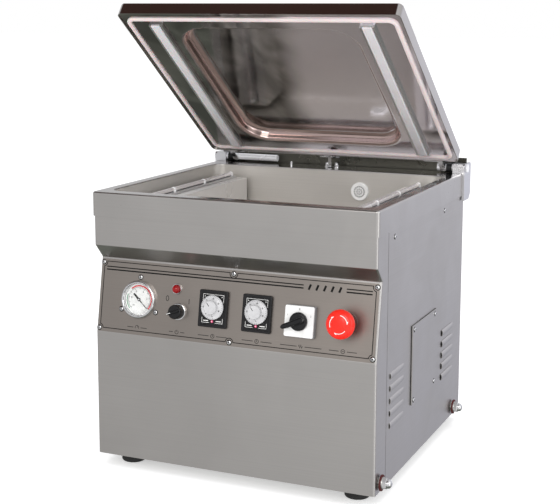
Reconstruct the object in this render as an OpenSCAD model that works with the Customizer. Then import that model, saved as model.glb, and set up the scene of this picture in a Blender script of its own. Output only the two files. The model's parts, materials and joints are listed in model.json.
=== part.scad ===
// Chamber vacuum packing machine, table-top, with two seal bars and an open hinged lid.
// Units are millimetres, +Z is up, +X is the machine's right-hand side and the control panel
// faces -Y. The part stands on z = 0 with its bounding box centred on the Z axis.
// Inside the modules y = 0 is the front plane of the casing, and machine() moves it into place.

/* [Casing] */
// Width over the side panels
body_w = 476; // [472:1:480]
// Depth from the front plane to the rear panel
body_d = 466; // [462:1:470]
// Height of the top of the deck above the table
deck_z = 451; // [449:1:453]
// Height of the rubber feet under the casing
foot_h = 20; // [18:1:24]
// Thickness of the casing sheet
sheet = 1.5; // [1.2:0.1:1.6]
// Height of the deck's folded edge
lip_h = 39; // [36:1:42]
// Depth of the front corner returns
return_d = 48; // [44:1:50]

/* [Control panel] */
// Setback of the panel's upper edge from the front plane
panel_setback = 21; // [18:1:21]
// Height of the panel's lower edge
panel_low_z = 223.5; // [220:0.5:226]
// Height of the panel's upper edge
panel_high_z = 342; // [340:1:343]
// Height where the sloped underside meets the upper front wall
brow_z = 364.5; // [363:0.5:367]
// Thickness of the printed control plate
plate_t = 1.2; // [1:0.1:1.5]

/* [Vacuum chamber] */
// Inside width of the chamber
chamber_w = 442; // [438:1:444]
// Distance of the chamber's front wall from the front plane
chamber_front = 20; // [19:1:22]
// Inside length of the chamber, front to back
chamber_l = 384; // [380:1:386]
// Height of the chamber floor
chamber_floor_z = 354; // [353:1:360]
// Radius of the chamber's upright corners
chamber_r = 20; // [14:1:26]

/* [Seal bars] */
// Distance of each seal bar from the centre plane
bar_x = 180; // [177:1:182]
// Length of each seal bar
bar_l = 340; // [330:1:344]
// Stroke of the seal bars
bar_stroke = 8; // [6:0.5:8]
// Height of the top of the heater rod, bar down
heater_top_z = 440; // [438:0.5:440]

/* [Lid] */
// Angle by which the lid stands open
lid_open = 36.4; // [30:0.1:40]
// Height of the hinge axis
hinge_z = 460; // [460:0.5:464]
// Distance of the hinge axis from the front plane
hinge_y = 457; // [455:1:459]
// Width of the lid
lid_w = 478; // [474:1:480]
// How far the closed lid reaches in front of the front plane
lid_nose = 6; // [4:1:8]
// Length of the lid, front to back
lid_l = 430; // [428:1:432]
// Height of the lid's skirt
skirt_h = 22; // [18:1:22]
// Depth of the recess pressed into the lid's inner plate
recess_d = 20; // [16:1:21]
// Radius of the hinge shafts
shaft_r = 6; // [5:0.5:6]

/* [Running fits] */
// Radial clearance of shafts and rods in their bores
fit = 0.05; // [0.02:0.01:0.08]

/* [Hidden] */

$fn = 48;
half_w = body_w/2;
sheet_w = half_w - sheet;            // inner face of the side walls
chamber_back = chamber_front + chamber_l;
deck_t = 2;
band_t = 2;                          // thickness of the deck's folded edges
deck_r = 5;                          // outer radius of the deck's corners
tub_t = 2;
over = 1;                            // how far a cutting shape runs past a face

// Bounding box in y: the emergency stop's face in front, the hinge brackets behind
bracket_back = hinge_y + 31;
estop_reach = 29.2;
mid_y = (bracket_back - estop_reach)/2;

// The control panel's slope
panel_rise = panel_high_z - panel_low_z;
panel_tilt = atan(panel_setback/panel_rise);
panel_s = panel_rise/cos(panel_tilt);

// Places on the control panel: [x, distance down the slope from its upper edge]
gauge_at = [-163, 62.5];
lamp_at = [-96.5, 39.5];
power_at = [-92, 75];
timer_w = 48.5;
timer_h = 57.5;
timer_s = 64.7;
vacuum_timer_x = -30.5;
sealing_timer_x = 43.5;
selector_at = [116, 69];
estop_at = [188, 65];
plate_w = 470;
plate_top = 2.5;
plate_bottom = 119;
plate_screw_s = [8, 113.5];
mid_screw_x = -1;
screw_r = 1.6;
head_r = 3.4;
head_h = 1.8;

// Device sizes on the control panel
gauge_r = 26;
gauge_screw_r = 35.5;
bezel_r = 30;
bezel_h = 8;
lamp_r = 5;
switch_r = 11;
timer_body = [44, 50];
timer_front = 7;
timer_dial_r = 19;
timer_dial_up = 2.5;
selector_w = 48;
selector_body = 40;
selector_front = 10.5;
knob_gap = 0.5;                      // clearance under the turning knobs
spindle_r = 3;
estop_stem_r = 8;
estop_cap_r = 22;
estop_collar_h = 12;

// Side details
louver_y = [64, 342];
louver_l = 70;
louver_z = [104.5, 124, 143.5, 163, 182.5];
louver_out = 4;
louver_h = 10.4;
cover_y = [169, 305];
cover_z = [111, 241];
cover_screw_y = [cover_y[0] + 9, cover_y[1] - 13];
cover_screw_z = [cover_z[0] + 7, cover_z[1] - 7];
seal_t = 1.2;                        // thickness of the rubber under the cover
seal_in = 0.3;                        // how far the rubber stays inside the cover's edge
port_w = 48;                         // service opening behind the cover
port_y = (cover_y[0] + cover_y[1])/2;
port_z = (cover_z[0] + cover_z[1])/2;
seam = 1.5;                          // gap between the front casing's return and the side panel
side_bolt_y = [20, 415];
side_bolt_z = 36;
bolt_r = 4;
bolt_hole_r = 4.2;
spacer_h = 3;                        // nut between the side and the fibre washer
washer_r = 12.5;
washer_t = 2.5;
side_screw_y = [78, 346];
side_screw_z = deck_z - 50.5;
gland_at = [-150, 90];               // cable gland on the rear panel, [x, z]
gland_r = 10;
vent_x = [-40, 80];                  // cooling slots in the rear panel
vent_l = 80;
vent_w = 5;
vent_z = 110;
vent_step = 16;
rear_screw_x = [-225, 225];
rear_screw_z = [50, 380];
foot_r = 20;
foot_inset = 42;

// Seal bars and their lifting cylinders
housing_w = 56;
housing_l = 355;
housing_y = chamber_front + 16;
housing_top = 430;
bar_y = housing_y + (housing_l - bar_l)/2;
bar_w = 20;
bar_h = 30;
heater_r = 3.5;
bar_low = heater_top_z - 2*heater_r - bar_h;
rod_r = 6;
rod_y = [bar_y + 60, bar_y + bar_l - 60];
cylinder_r = 20;
cylinder_h = 56;
piston_r = 15;
collar_y = [for (i = [0:3]) bar_y + 4 + i*(bar_l - 8)/3];

// Vacuum port in the chamber's rear wall
port_at = [65, 415];
port_r = 6;
strainer_r = 16.5;

// Lid, in its closed place
lid_low = deck_z + 2;
lid_front = -lid_nose;
lid_back = lid_l - lid_nose;
liner_z = lid_low + 2;
liner_t = 1.5;
gasket_w = 8;
gasket_gap = 0.4;
gasket_x = 227;
gasket_r = 16;
gasket_y = [11, 412.5];
holder_w = 24;
strip_w = 16;
strip_low = heater_top_z + bar_stroke + 0.5;
strip_y = [chamber_front + 3, chamber_back - 3];
recess_x = 150;
recess_y = [40, 380];
recess_r = 46;
dome_up = 8;

// Hinge
bracket_x = half_w + band_t;         // inner face of the outer hinge plates
bracket_t = 4;
bracket_y = [hinge_y - 11, bracket_back];
bracket_z = [403, hinge_z + 8];
shaft_out = bracket_x + bracket_t;
block_x = 222;
arm_x = [198, 208];
arm_r = 8;
plunger_at = [-80, 431];
lever_x = -5;
stud_x = [-14, 4];                   // the two studs beside the spring lever
stud_y = 444;

// Machinery below the chamber
base_top = foot_h + sheet;
pump_at = [40, 330];                 // plan centre of the vacuum pump
pump_h = 150;
mount_h = 12;                        // rubber mounts under the pump and its motor
mount_x = [-140, -70, 0, 110];
mount_y = [-40, 40];
mount_stud_r = 3;
motor_r = 62;
rotor_r = 44;
motor_shaft_r = 8;
motor_z = base_top + mount_h + 78;
hose_r = 9.5;
hose_bend = 26;
hose_start = 14;                     // straight length behind the chamber's wall
hose_y = chamber_back + hose_start + hose_bend;
inlet_z = base_top + mount_h + 118;  // top of the pump's inlet port

steel = [0.71, 0.69, 0.67];
side_steel = [0.66, 0.67, 0.69];
mirror_steel = [0.62, 0.60, 0.58];
chrome = [0.85, 0.85, 0.86];
black = [0.08, 0.08, 0.09];
red = [0.85, 0.10, 0.08];
white = [0.93, 0.93, 0.92];
silicone = [0.90, 0.84, 0.82];

// ---------- placing ----------
module machine() { translate([0, -mid_y, 0]) children(); }

// Local +Z points out of the panel and local +Y up the slope
module on_panel(at) {
  machine()
    translate([at[0], panel_setback - at[1]*sin(panel_tilt), panel_high_z - at[1]*cos(panel_tilt)])
      rotate([90 - panel_tilt, 0, 0]) children();
}

// Swings the closed lid open about the hinge axis
module lid_place() {
  machine() translate([0, hinge_y, hinge_z]) rotate([-lid_open, 0, 0])
    translate([0, -hinge_y, -hinge_z]) children();
}

module both_sides() { for (m = [0, 1]) mirror([m, 0, 0]) children(); }

// ---------- shapes ----------
// A rectangle with round corners, from corner a to corner b
module round_rect(a, b, r) {
  translate([a[0] + r, a[1]]) square([b[0] - a[0] - 2*r, b[1] - a[1]]);
  translate([a[0], a[1] + r]) square([b[0] - a[0], b[1] - a[1] - 2*r]);
  for (x = [a[0] + r, b[0] - r], y = [a[1] + r, b[1] - r]) translate([x, y]) circle(r);
}

// A box from corner a to corner b
module block(a, b) { translate(a) cube([b[0] - a[0], b[1] - a[1], b[2] - a[2]]); }

// An upright ring or disc from z0 to z1
module disc(r, z0, z1, hole = 0) {
  difference() {
    translate([0, 0, z0]) cylinder(r = r, h = z1 - z0);
    if (hole > 0) translate([0, 0, z0 - over]) cylinder(r = hole, h = z1 - z0 + 2*over);
  }
}

// A rod along +X from x0 to x1
module rod_x(r, x0, x1) { translate([x0, 0, 0]) rotate([0, 90, 0]) cylinder(r = r, h = x1 - x0); }

// A plate profile given in [y, z], run along X between two planes
module along_x(x0, x1) {
  translate([x0, 0, 0]) rotate([90, 0, 90]) linear_extrude(x1 - x0) children();
}

// A pan-head screw: head above z = 0, shank below
module pan_screw(shank = 5) {
  disc(head_r, 0, head_h);
  disc(screw_r, -shank, 0);
}

// ---------- control panel holes, shared by the casing and the plate ----------
plate_screws = concat(
  [for (x = [-232, 232], s = plate_screw_s) [x, s]],
  [[mid_screw_x, plate_screw_s[0]], [mid_screw_x, plate_screw_s[1]]],
  [for (a = [90, 210, 330])
    [gauge_at[0] + gauge_screw_r*cos(a), gauge_at[1] - gauge_screw_r*sin(a)]]);

module panel_cuts() {
  for (p = plate_screws) on_panel(p) disc(screw_r + fit, -10, 10);
  on_panel(gauge_at) disc(gauge_r + 0.3, -10, 10);
  on_panel(lamp_at) disc(lamp_r + 0.2, -10, 10);
  on_panel(power_at) disc(switch_r + 0.2, -10, 10);
  for (x = [vacuum_timer_x, sealing_timer_x])
    on_panel([x, timer_s]) cube([timer_body[0] + 0.6, timer_body[1] + 0.6, 20], center = true);
  on_panel(selector_at) cube([selector_body + 0.6, selector_body + 0.6, 20], center = true);
  on_panel(estop_at) disc(12.2, -10, 10);
}

// ---------- casing ----------
// The front sheet's outer line in [y, z], from the bottom to under the deck
front_line = [[0, foot_h], [0, panel_low_z], [panel_setback, panel_high_z], [0, brow_z],
  [0, deck_z - deck_t]];

module front_profile(inset) {
  polygon(concat([for (p = front_line) [p[0] + inset, p[1]]],
    [[return_d, deck_z - deck_t], [return_d, foot_h]]));
}

module front_casing() color(steel) {
  difference() {
    machine() difference() {
      along_x(-half_w, half_w) front_profile(0);
      along_x(-sheet_w, sheet_w) front_profile(sheet);
      block([-sheet_w, return_d - over, 0], [sheet_w, return_d + over, deck_z]);
      translate([0, side_bolt_y[0], side_bolt_z])
        rod_x(bolt_hole_r, sheet_w - over, half_w + over);
    }
    panel_cuts();
  }
}

module deck_frame() color(steel) machine() difference() {
  union() {
    // top plate
    translate([0, 0, deck_z - deck_t]) linear_extrude(deck_t)
      round_rect([-half_w - band_t, -band_t], [half_w + band_t, body_d + band_t], deck_r);
    // folded edge on all four sides
    translate([0, 0, deck_z - lip_h]) linear_extrude(lip_h - deck_t) difference() {
      round_rect([-half_w - band_t, -band_t], [half_w + band_t, body_d + band_t], deck_r);
      translate([-half_w, 0]) square([body_w, body_d]);
    }
  }
  translate([0, 0, deck_z - deck_t - over]) linear_extrude(deck_t + 2*over)
    round_rect([-chamber_w/2, chamber_front], [chamber_w/2, chamber_back], chamber_r);
  // slot for the lid's spring lever and hole for the lid switch
  block([lever_x - 5, lid_back, deck_z - 5], [lever_x + 5, lid_back + 28, deck_z + over]);
  translate([plunger_at[0], plunger_at[1], 0]) disc(3.2, deck_z - 5, deck_z + over);
  for (x = stud_x) translate([x, stud_y, 0]) disc(2.6, deck_z - 5, deck_z + over);
}

module chamber_tub() color([0.72, 0.70, 0.66]) machine() difference() {
  translate([0, 0, chamber_floor_z - tub_t])
    linear_extrude(deck_z - deck_t - chamber_floor_z + tub_t)
      round_rect([-chamber_w/2 - tub_t, chamber_front - tub_t],
        [chamber_w/2 + tub_t, chamber_back + tub_t], chamber_r + tub_t);
  translate([0, 0, chamber_floor_z]) linear_extrude(deck_z)
    round_rect([-chamber_w/2, chamber_front], [chamber_w/2, chamber_back], chamber_r);
  for (x = [-bar_x, bar_x], y = rod_y)
    translate([x, y, 0]) disc(rod_r + fit, chamber_floor_z - 2*tub_t, chamber_floor_z + over);
  translate([port_at[0], chamber_back - over, port_at[1]]) rotate([-90, 0, 0])
    cylinder(r = port_r + 0.1, h = tub_t + 2*over);
}

module rear_panel() color(side_steel) machine() difference() {
  block([-sheet_w, body_d - sheet, foot_h], [sheet_w, body_d, deck_z - deck_t]);
  // cable inlet and two rows of cooling slots
  translate([gland_at[0], body_d - sheet - over, gland_at[1]]) rotate([-90, 0, 0])
    cylinder(r = gland_r + 0.2, h = sheet + 2*over);
  for (i = [0:6], x = vent_x) block([x, body_d - sheet - over, vent_z + vent_step*i],
    [x + vent_l, body_d + over, vent_z + vent_step*i + vent_w]);
  for (x = rear_screw_x, z = rear_screw_z) translate([x, body_d - sheet - over, z])
    rotate([-90, 0, 0]) cylinder(r = screw_r + fit, h = sheet + 2*over);
}

// One pressed louvre: a sloping hood above a slot, in the plane x = 0, open at the bottom
module louver_hood() {
  rotate([90, 0, 180]) linear_extrude(louver_l)
    polygon([[0, louver_h - 1.4], [0, louver_h], [-1.6, louver_h - 0.2], [-louver_out, 4.5],
      [-louver_out, 3.2], [-louver_out + 1.2, 3.2], [-1, louver_h - 1.8]]);
}

// The right-hand side panel: louvres, screw holes and, on one side, the cover's opening
module side_panel(with_cover) {
  difference() {
    block([sheet_w, return_d + seam, foot_h], [half_w, body_d - sheet, deck_z - deck_t]);
    for (y = louver_y, z = louver_z)
      block([sheet_w - over, y + 1.2, z + 1], [half_w + over, y + louver_l - 1.2, z + louver_h - 2]);
    translate([0, side_bolt_y[1], side_bolt_z])
      rod_x(bolt_hole_r, sheet_w - over, half_w + over);
    for (y = side_screw_y)
      translate([0, y, side_screw_z]) rod_x(screw_r + fit, sheet_w - over, half_w + over);
    if (with_cover) {
      block([sheet_w - over, port_y - port_w/2, port_z - port_w/2],
        [half_w + over, port_y + port_w/2, port_z + port_w/2]);
      for (y = cover_screw_y, z = cover_screw_z)
        translate([0, y, z]) rod_x(screw_r + fit, sheet_w - over, half_w + over);
    }
  }
  for (y = louver_y, z = louver_z) translate([half_w, y, z]) louver_hood();
}

module left_panel() color(side_steel) machine() mirror([1, 0, 0]) side_panel(false);
module right_panel() color(side_steel) machine() side_panel(true);

module access_cover() color(side_steel) machine() difference() {
  block([half_w + seal_t, cover_y[0], cover_z[0]],
    [half_w + seal_t + sheet, cover_y[1], cover_z[1]]);
  for (y = cover_screw_y, z = cover_screw_z)
    translate([0, y, z]) rod_x(screw_r + fit, half_w, half_w + seal_t + sheet + over);
}

// A rubber frame between the cover and the side panel
module cover_seal() color(black) machine() difference() {
  block([half_w, cover_y[0] + seal_in, cover_z[0] + seal_in],
    [half_w + seal_t, cover_y[1] - seal_in, cover_z[1] - seal_in]);
  block([half_w - over, port_y - port_w/2, port_z - port_w/2],
    [half_w + seal_t + over, port_y + port_w/2, port_z + port_w/2]);
  for (y = cover_screw_y, z = cover_screw_z)
    translate([0, y, z]) rod_x(screw_r + fit, half_w - over, half_w + seal_t + over);
}

module base_plate() color(side_steel) machine() difference() {
  block([-sheet_w, sheet, foot_h], [sheet_w, body_d - sheet, base_top]);
  for (x = [-1, 1], y = [foot_inset, body_d - foot_inset])
    translate([x*(half_w - foot_inset), y, 0]) disc(4.1, foot_h - over, base_top + over);
  for (i = [0:5]) block([-120, 70 + 22*i, foot_h - over], [0, 80 + 22*i, base_top + over]);
  for (x = mount_x, y = mount_y) translate([pump_at[0] + x, pump_at[1] + y, 0])
    disc(mount_stud_r + fit, foot_h - over, base_top + over);
}

module feet() color(black) machine()
  for (x = [-1, 1], y = [foot_inset, body_d - foot_inset])
    translate([x*(half_w - foot_inset), y, 0]) {
      rotate_extrude() polygon([[0, 0], [foot_r - 2, 0], [foot_r, 2], [foot_r - 2.5, foot_h - 1],
        [foot_r - 4, foot_h], [0, foot_h]]);
      disc(4, foot_h - over, base_top + 6);
    }

module control_plate() color([0.66, 0.64, 0.60]) difference() {
  on_panel([0, (plate_top + plate_bottom)/2]) linear_extrude(plate_t)
    round_rect([-plate_w/2, -(plate_bottom - plate_top)/2],
      [plate_w/2, (plate_bottom - plate_top)/2], 3);
  panel_cuts();
}

module casing_screws() color(chrome) {
  for (p = plate_screws) on_panel(p) translate([0, 0, plate_t]) pan_screw();
  machine() {
    both_sides() for (y = side_screw_y)
      translate([half_w, y, side_screw_z]) rotate([0, 90, 0]) pan_screw();
    for (y = cover_screw_y, z = cover_screw_z)
      translate([half_w + seal_t + sheet, y, z]) rotate([0, 90, 0]) pan_screw(6);
    for (x = rear_screw_x, z = rear_screw_z)
      translate([x, body_d, z]) rotate([-90, 0, 0]) pan_screw();
  }
}

// ---------- gauge, lamp and switches ----------
module gauge_case() color(chrome) on_panel(gauge_at) {
  rotate_extrude() polygon([[0, -34], [gauge_r, -34], [gauge_r, plate_t], [bezel_r, plate_t],
    [bezel_r, bezel_h - 2], [bezel_r - 2, bezel_h], [gauge_r - 0.5, bezel_h],
    [gauge_r - 0.5, 6.5], [gauge_r + 0.8, 6.5], [gauge_r + 0.8, 4.5], [gauge_r - 1, 4.5],
    [gauge_r - 1, 0], [0, 0]]);
}

module gauge_dial() color(white) on_panel(gauge_at) {
  disc(gauge_r - 1.1, 0, 0.8);
  disc(1.2, 0.8, 3.4);
}

module gauge_glass() color([0.8, 0.9, 0.95, 0.4]) on_panel(gauge_at) disc(gauge_r + 0.7, 4.6, 6.4);

// Pointer at rest to the lower right, with a broad tail
module gauge_needle() color(black) on_panel(gauge_at) difference() {
  union() {
    disc(2.4, 1.2, 3);
    rotate([0, 0, -42]) translate([0, 0, 1.7]) linear_extrude(0.6)
      polygon([[-13, -1.2], [-13, 1.2], [0, 1.2], [21, 0.35], [21, -0.35], [0, -1.2]]);
  }
  disc(1.2 + fit, 0, 4);
}

module pilot_bezel() color(chrome) on_panel(lamp_at)
  rotate_extrude() polygon([[0, -24], [lamp_r, -24], [lamp_r, plate_t], [8.5, plate_t],
    [8.5, 3.2], [7.8, 4.2], [6.9, 4.2], [6.9, 2.2], [0, 2.2]]);

module pilot_lens() color([0.65, 0.06, 0.06]) on_panel(lamp_at) intersection() {
  translate([0, 0, 3.6]) sphere(r = 7.2);
  disc(6.8, 2.3, 12);
}

module power_switch() color(chrome) on_panel(power_at) {
  difference() {
    rotate_extrude() polygon([[0, -32], [switch_r, -32], [switch_r, plate_t], [13.4, plate_t],
      [13.4, 3], [12.4, 4], [0, 4]]);
    disc(9.5, 3, 5);
  }
  disc(spindle_r, 3, 14);
}

// A turning knob with a raised grip bar that points along angle a
module knob(r, z0, h, grip_w, grip_h, reach, a) {
  difference() {
    union() {
      rotate_extrude() polygon([[0, z0], [r, z0], [r, z0 + h - 1.5], [r - 1.5, z0 + h],
        [0, z0 + h]]);
      rotate([0, 0, a]) translate([-r + 1, -grip_w/2, z0 + h - over])
        cube([reach + r - 1, grip_w, grip_h + over]);
    }
    disc(spindle_r + fit, z0 - over, z0 + h - 2);
  }
}

module power_knob() color(black) on_panel(power_at)
  knob(11.5, 4 + knob_gap, 12.5, 5, 2.5, 13.5, 200);

module timer_case() {
  translate([0, 0, plate_t]) linear_extrude(timer_front - 2)
    round_rect([-timer_w/2, -timer_h/2], [timer_w/2, timer_h/2], 2);
  translate([0, 0, -28.8]) linear_extrude(30) square(timer_body, center = true);
  translate([0, timer_dial_up, 0]) disc(spindle_r, timer_front - 2 + plate_t, 13);
}

module timer_dial() translate([0, timer_dial_up, 0])
  difference() {
    rotate_extrude() polygon([[0, timer_front], [timer_dial_r, timer_front],
      [timer_dial_r, timer_front + 2], [timer_dial_r - 2, timer_front + 4.5], [11, timer_front + 5],
      [10, timer_front + 10], [0, timer_front + 10]]);
    disc(spindle_r + fit, timer_front - over, timer_front + 8);
  }

module vacuum_timer() color(black) on_panel([vacuum_timer_x, timer_s]) timer_case();
module sealing_timer() color(black) on_panel([sealing_timer_x, timer_s]) timer_case();
module vacuum_timer_dial() color([0.78, 0.78, 0.78]) on_panel([vacuum_timer_x, timer_s])
  timer_dial();
module sealing_timer_dial() color([0.78, 0.78, 0.78]) on_panel([sealing_timer_x, timer_s])
  timer_dial();

module selector_switch() color(white) on_panel(selector_at) {
  translate([0, 0, plate_t]) linear_extrude(selector_front)
    round_rect([-selector_w/2, -selector_w/2], [selector_w/2, selector_w/2], 2);
  translate([0, 0, -48.8]) linear_extrude(50) square(selector_body, center = true);
  disc(spindle_r, plate_t + selector_front, 15.5);
}

module selector_handle() color(black) on_panel(selector_at)
  knob(14.2, plate_t + selector_front + knob_gap, 6, 9, 9, 28, 203);

module estop_collar() color([0.16, 0.16, 0.17]) on_panel(estop_at) difference() {
  rotate_extrude() polygon([[0, -30], [12, -30], [12, plate_t], [17, plate_t], [17, 5],
    [14, estop_collar_h], [0, estop_collar_h]]);
  disc(estop_stem_r + fit, -22, 20);
}

module estop_plunger() color([0.5, 0.5, 0.5]) on_panel(estop_at) {
  disc(estop_stem_r, -12, 22);
  disc(5, 22, 31);
}

module estop_cap() color(red) on_panel(estop_at) difference() {
  rotate_extrude() polygon(concat([[0, 22.4], [11, 22.4], [estop_cap_r - 1, 24.5],
    [estop_cap_r, 27]], [for (i = [0:8]) [5 + (estop_cap_r - 5)*cos(i*90/8), 30 + 8*sin(i*90/8)]],
    [[0, 38]]));
  disc(5 + fit, 20, 31.5);
}

// ---------- chamber fittings ----------
// A folded housing over the bar: two walls, two ends and a slotted top
module bar_housing() machine() difference() {
  block([bar_x - housing_w/2, housing_y, chamber_floor_z],
    [bar_x + housing_w/2, housing_y + housing_l, housing_top]);
  block([bar_x - housing_w/2 + sheet, housing_y + sheet, chamber_floor_z - over],
    [bar_x + housing_w/2 - sheet, housing_y + housing_l - sheet, housing_top - sheet]);
  block([bar_x - bar_w/2 - 1, bar_y - 1, housing_top - 5],
    [bar_x + bar_w/2 + 1, bar_y + bar_l + 1, housing_top + over]);
}

module left_bar_housing() color(steel) mirror([1, 0, 0]) bar_housing();
module right_bar_housing() color(steel) bar_housing();

module bar_cylinders() color([0.6, 0.6, 0.62]) machine()
  for (x = [-bar_x, bar_x], y = rod_y) translate([x, y, 0]) difference() {
    disc(cylinder_r, chamber_floor_z - tub_t - cylinder_h, chamber_floor_z - tub_t);
    disc(piston_r + fit, chamber_floor_z - tub_t - cylinder_h + 4, chamber_floor_z - tub_t - 6);
    disc(rod_r + fit, chamber_floor_z - tub_t - 10, chamber_floor_z + over);
    rotate([0, 90, 0]) translate([-(chamber_floor_z - tub_t - cylinder_h + 8), 0, 0])
      cylinder(r = 3, h = cylinder_r + over);
  }

module seal_bar() machine() {
  block([bar_x - bar_w/2, bar_y, bar_low], [bar_x + bar_w/2, bar_y + bar_l, bar_low + bar_h]);
  for (y = rod_y) translate([bar_x, y, 0]) {
    disc(rod_r, chamber_floor_z - tub_t - 34, bar_low);
    disc(piston_r, chamber_floor_z - tub_t - 44, chamber_floor_z - tub_t - 34);
  }
}

// The heater rod lies on the bar, with insulating collars round it
module heater() machine() {
  block([bar_x - heater_r, bar_y + 2, bar_low + bar_h],
    [bar_x + heater_r, bar_y + bar_l - 2, heater_top_z - heater_r]);
  translate([bar_x, bar_y + 2, heater_top_z - heater_r]) rotate([-90, 0, 0])
    cylinder(r = heater_r, h = bar_l - 4);
  for (y = collar_y) block([bar_x - 6, y - 4, bar_low + bar_h], [bar_x + 6, y + 4, heater_top_z]);
}

module left_seal_bar() color([0.75, 0.75, 0.76]) mirror([1, 0, 0]) seal_bar();
module right_seal_bar() color([0.75, 0.75, 0.76]) seal_bar();
module left_heater() color([0.70, 0.68, 0.62]) mirror([1, 0, 0]) heater();
module right_heater() color([0.70, 0.68, 0.62]) heater();

// A perforated cap over the vacuum port, with one centre hole and two rings of holes
module vacuum_strainer() color(white) machine()
  translate([port_at[0], chamber_back, port_at[1]]) rotate([90, 0, 0]) difference() {
    union() {
      rotate_extrude() polygon([[0, 0], [strainer_r, 0], [strainer_r, 3], [strainer_r - 2.5, 5],
        [0, 5]]);
      disc(port_r, -10, 0);
    }
    disc(4.5, -12, 2);
    translate([0, 0, 2]) cylinder(r = 11.5, h = 1.6);
    for (k = [0:3], i = [0:max(0, 6*k - 1)])
      rotate([0, 0, k == 0 ? 0 : i*360/(6*k)]) translate([3.35*k, 0, 0]) disc(0.9, 1, 6);
  }

module lid_switch() color(black) machine() translate([plunger_at[0], plunger_at[1], 0])
  difference() {
    union() {
      block([-10, -7, deck_z - 32], [10, 7, deck_z - deck_t - 4]);
      disc(5, deck_z - deck_t - 4, deck_z - deck_t);
      disc(3.1, deck_z - deck_t, deck_z);
    }
    disc(2 + fit, deck_z - 20, deck_z + over);
  }

module switch_plunger() color(chrome) machine() translate([plunger_at[0], plunger_at[1], 0])
  rotate_extrude() polygon([[0, deck_z - 14], [2, deck_z - 14], [2, deck_z + 7],
    [1, deck_z + 8], [0, deck_z + 8]]);

// ---------- hinge and rear ----------
module hinge_brackets() color(side_steel) machine() both_sides() difference() {
  union() {
    along_x(bracket_x, bracket_x + bracket_t)
      polygon([[bracket_y[0], bracket_z[0]], [bracket_y[1] - 10, bracket_z[0]],
        [bracket_y[1], bracket_z[0] + 10], [bracket_y[1], bracket_z[1] - 3],
        [bracket_y[1] - 3, bracket_z[1]], [bracket_y[0] + 3, bracket_z[1]],
        [bracket_y[0], bracket_z[1] - 3]]);
    block([block_x, bracket_y[0], deck_z], [bracket_x, hinge_y + 11, bracket_z[1]]);
  }
  translate([0, hinge_y, hinge_z])
    rod_x(shaft_r + fit, block_x - over, bracket_x + bracket_t + over);
}

module rear_guard() color(mirror_steel) machine() {
  block([-bracket_x, bracket_back - 14, 436], [bracket_x, bracket_back - 14 + sheet, deck_z + 25]);
  block([-half_w + 6, body_d + band_t, 436], [half_w - 6, bracket_back - 14, 436 + sheet]);
}

// Places of the low side bolts: two on the right, and on the left only the rear one
module side_bolts() {
  for (y = side_bolt_y) translate([half_w, y, side_bolt_z]) rotate([0, 90, 0]) children();
  mirror([1, 0, 0]) translate([half_w, side_bolt_y[1], side_bolt_z]) rotate([0, 90, 0]) children();
}

// A hexagon nut with a dome on top
module dome_nut(across, z0) {
  cylinder(r = across*0.577, h = z0, $fn = 6);
  intersection() {
    translate([0, 0, z0]) sphere(r = across/2);
    disc(across, z0, z0 + across);
  }
}

module dome_nut_bolts() color(chrome) machine() {
  for (x = stud_x) translate([x, stud_y, deck_z]) {
    disc(2.5, -10, 0);
    disc(5, 0, 1);
    translate([0, 0, 1]) dome_nut(7, 4);
  }
  side_bolts() {
    disc(bolt_r, -sheet - 8, spacer_h + washer_t);
    cylinder(r = 9, h = spacer_h, $fn = 6);
    translate([0, 0, spacer_h + washer_t]) {
      disc(9.5, 0, 1.5);
      translate([0, 0, 1.5]) dome_nut(15.5, 6);
    }
  }
}

module side_washers() color([0.45, 0.12, 0.10]) machine()
  side_bolts() disc(washer_r, spacer_h, spacer_h + washer_t, bolt_r + 0.1);

module cable_gland() color(black) machine()
  translate([gland_at[0], body_d, gland_at[1]]) rotate([-90, 0, 0]) difference() {
    union() {
      disc(gland_r, -14, 0);
      cylinder(r = 14, h = 6, $fn = 6);
      rotate_extrude() polygon([[0, 6], [11.5, 6], [11.5, 14], [9, 19], [0, 19]]);
      disc(13, -14, -sheet);
    }
    disc(5, -16, 22);
  }

// ---------- machinery ----------
module inlet_place() translate([port_at[0] - pump_at[0], hose_y - pump_at[1], 0]) children();

module vacuum_pump() color([0.25, 0.33, 0.42]) machine() translate([pump_at[0], pump_at[1], 0])
  difference() {
    union() {
      block([-20, -60, base_top + mount_h], [130, 60, base_top + mount_h + pump_h - 20]);
      block([-10, 60, base_top + mount_h + 20], [120, 84, base_top + mount_h + pump_h - 40]);
      for (i = [0:6]) block([-2 + 19*i, -66, base_top + mount_h + 15],
        [2 + 19*i, -60, base_top + mount_h + pump_h - 35]);
      // inlet port below the hose and oil filler
      inlet_place() disc(13, base_top + mount_h + 90, inlet_z);
      block([15, 60, base_top + mount_h + 88],
        [35, hose_y - pump_at[1], base_top + mount_h + 112]);
      translate([100, 0, 0])
        disc(12, base_top + mount_h + pump_h - 20, base_top + mount_h + pump_h - 6);
    }
    inlet_place() disc(port_r, base_top + mount_h + 100, inlet_z + over);
  }

module pump_motor() color([0.30, 0.36, 0.44]) machine()
  translate([pump_at[0], pump_at[1], motor_z]) difference() {
    union() {
      rod_x(motor_r, -190, -20);
      block([-130, -30, motor_r - 8], [-70, 30, motor_r + 22]);
      block([-150, -50, -motor_z + base_top + mount_h], [-60, 50, -motor_r + 10]);
    }
    rod_x(motor_r - 5, -191, -150);
    rod_x(rotor_r + 4, -140, -34);
    rod_x(motor_shaft_r + fit, -151, -22);
    for (a = [0:45:315]) rotate([a, 0, 0]) block([-184, -6, motor_r - 10], [-160, 6, motor_r + 2]);
  }

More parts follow.
